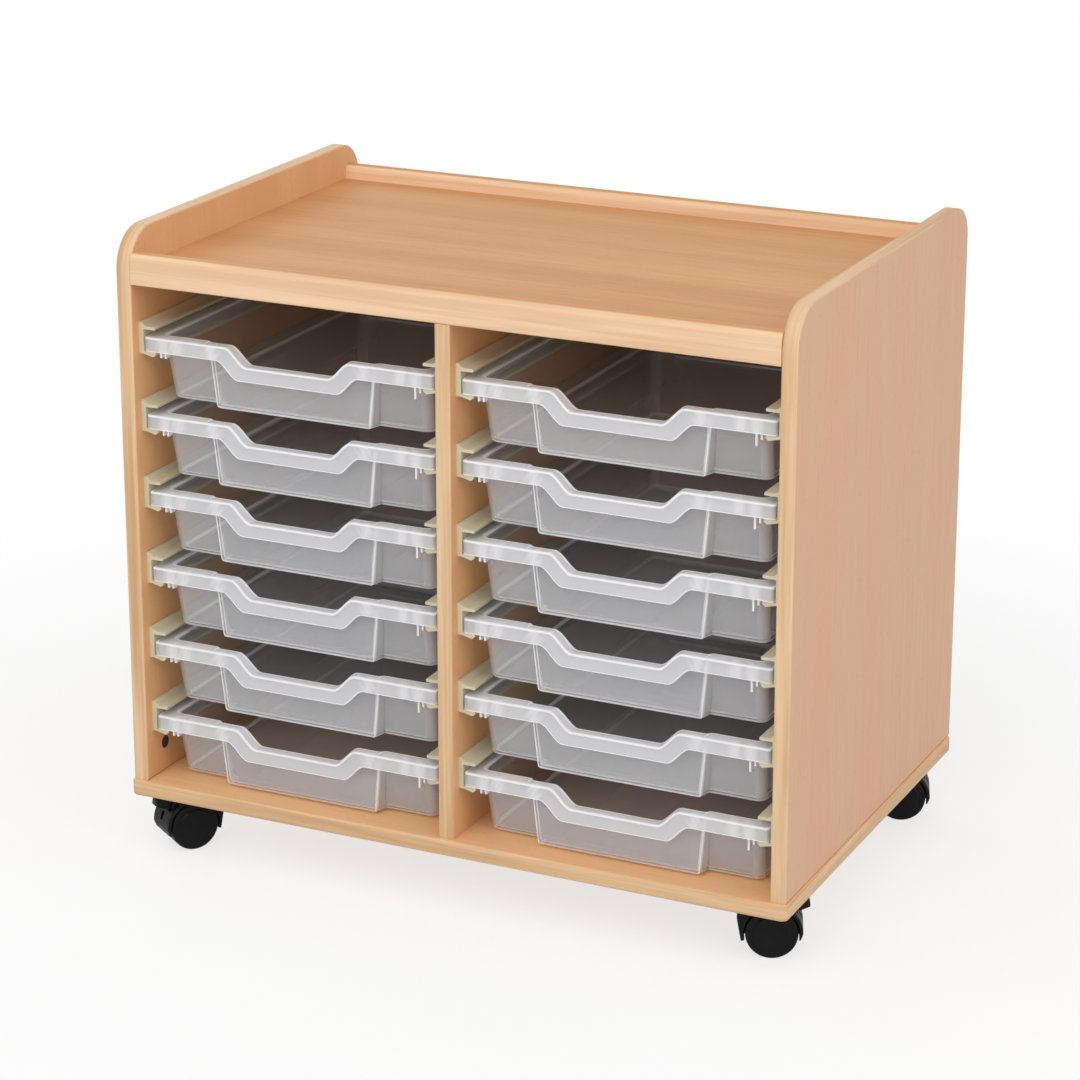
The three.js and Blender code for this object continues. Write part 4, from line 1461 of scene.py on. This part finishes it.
@dataclass
class Studio:
    """Pale floor, soft light and the camera."""

    floor_half: float = 12.0
    floor_colour: Colour = (250, 250, 250)
    floor_mottle: Colour = (247, 247, 247)
    floor_glow: tuple[float, float] = (0.72, 1.0)
    floor_fade: tuple[float, float] = (0.5, 1.3)
    world_strength: float = 0.5
    lamps: tuple[Lamp, ...] = (
        Lamp("key", 41.0, 3.0, (0.4, -3.5, 2.5)),
        Lamp("fill", 23.5, 2.4, (3.0, -0.6, 1.8)),
        Lamp("overhead", 24.0, 2.4, (0.0, -1.6, 2.9)),
        Lamp("rear", 24.0, 2.4, (-2.9, 2.2, 1.7)),
    )
    aim: tuple[float, float, float] = (0.0, 0.0, 0.33)
    camera_place: tuple[float, float, float] = (1.37799, -2.91852, 1.40548)
    camera_heading_deg: float = 25.413
    camera_down_deg: float = 16.992
    focal_pixels: float = 3423.0
    image_pixels: float = 1080.0
    sensor: float = 36.0
    rise: float = -0.1

    def hang(self, lamp: Lamp) -> None:
        """Hangs a lamp that points at the unit."""
        data = bpy.data.lights.new(lamp.name, "AREA")
        data.energy = lamp.power
        data.size = lamp.size
        holder = bpy.data.objects.new(lamp.name, data)
        holder.location = lamp.place
        aim = np.array(self.aim) - np.array(lamp.place)
        flat = math.hypot(aim[0], aim[1])
        turn = math.atan2(aim[1], aim[0]) - math.pi / 2
        holder.rotation_euler = (math.atan2(flat, -aim[2]), 0.0, turn)
        bpy.context.scene.collection.objects.link(holder)

    def paint(self) -> bpy.types.Material:
        """Floor paint that takes shadows near the unit and is seen as plain white further out.

        Returns:
            The material.
        """
        sheet = FinishSheet("floor_paint")
        mottle = sheet.noise(sheet.stretched((3.0,) * 3), 2.0, 0.5)
        tone = sheet.tint(sheet.spread(mottle, (0.3, 0.7), (0.0, 1.0)), self.floor_colour, self.floor_mottle)
        sheet.join(tone, sheet.shader, "Base Color")
        sheet.shader.inputs["Roughness"].default_value = 0.9
        sheet.shader.inputs["Specular IOR Level"].default_value = 0.0
        away = sheet.add("ShaderNodeVectorMath", operation="LENGTH")
        sheet.join(sheet.place.outputs["Object"], away, 0)
        white = sheet.spread(away.outputs["Value"], self.floor_fade, self.floor_glow)
        mix = sheet.add("ShaderNodeMixShader")
        sheet.join(sheet.combine("MULTIPLY", white, sheet.looked_at()), mix, 0)
        sheet.join(sheet.shader.outputs["BSDF"], mix, 1)
        sheet.join(sheet.add("ShaderNodeEmission").outputs["Emission"], mix, 2)
        sheet.join(mix.outputs["Shader"], sheet.output, "Surface")
        return sheet.material

    def floor(self) -> None:
        """Lays a large pale floor at the wheels' height."""
        half = self.floor_half
        mesh = bpy.data.meshes.new("floor")
        corners = [(-half, -half, 0), (half, -half, 0), (half, half, 0), (-half, half, 0)]
        mesh.from_pydata(corners, [], [(0, 1, 2, 3)])
        mesh.materials.append(self.paint())
        floor = bpy.data.objects.new("floor", mesh)
        bpy.context.scene.collection.objects.link(floor)

    def world(self) -> None:
        """Fills the surroundings with even light, seen as plain white."""
        world = bpy.data.worlds.new("studio")
        world.use_nodes = True
        sheet = NodeSheet(world.node_tree)
        background = world.node_tree.nodes["Background"]
        background.inputs["Color"].default_value = (1.0, 1.0, 1.0, 1.0)
        seen = sheet.spread(sheet.looked_at(), (0.0, 1.0), (self.world_strength, 1.0))
        sheet.join(seen, background, "Strength")
        bpy.context.scene.world = world

    def camera(self) -> None:
        """Sets the camera at the photograph's viewing angle."""
        data = bpy.data.cameras.new("camera")
        data.sensor_width = self.sensor
        data.lens = self.focal_pixels / self.image_pixels * self.sensor
        data.shift_y = self.rise
        camera = bpy.data.objects.new("camera", data)
        camera.location = self.camera_place
        camera.rotation_euler = (math.radians(90.0 - self.camera_down_deg), 0.0,
                                 math.radians(self.camera_heading_deg))
        bpy.context.scene.collection.objects.link(camera)
        bpy.context.scene.camera = camera

    def build(self) -> None:
        """Builds floor, light and camera."""
        bpy.context.scene.view_settings.view_transform = "Standard"
        self.floor()
        self.world()
        for lamp in self.lamps:
            self.hang(lamp)
        self.camera()
        LOG.info("studio: ready")


def main() -> None:
    """Builds the unit piece by piece, then the studio round it."""
    logging.basicConfig(level=logging.INFO, format="%(name)s %(message)s")
    Carcass().build()
    metal = MouldedFinish("cam_metal", (112, 92, 80), (44, 32, 26), (0.35, 0.5)).make()
    CamFitting().build("left_side_panel", 1, metal)
    CamFitting().build("right_side_panel", -1, metal)
    frosted = FrostedFinish("frosted_polypropylene").make()
    cream = MouldedFinish("runner_plastic", (211, 204, 177), (203, 195, 165), (0.4, 0.55)).make()
    tray = Tray()
    runner = Runner()
    rows = sum(node.startswith("tray_left_") for node in frame["nodes"])
    for bay in Bay:
        for row in range(1, rows + 1):
            tray.build(f"tray_{bay.value}_{row}", frosted)
            for hand, side in (("a", 1), ("b", -1)):
                runner.build(f"runner_{bay.value}_{row}_{hand}", side, cream)
    hood = MouldedFinish("castor_plastic", (13, 13, 14), (9, 9, 10), (0.4, 0.54), 0.16).make()
    tyre = MouldedFinish("wheel_plastic", (18, 18, 19), (14, 14, 15), (0.45, 0.6), 0.13).make()
    castor = Castor()
    for corner in Corner:
        castor.build(corner, hood, tyre)
    Studio().build()


if __name__ == "__main__":
    main()
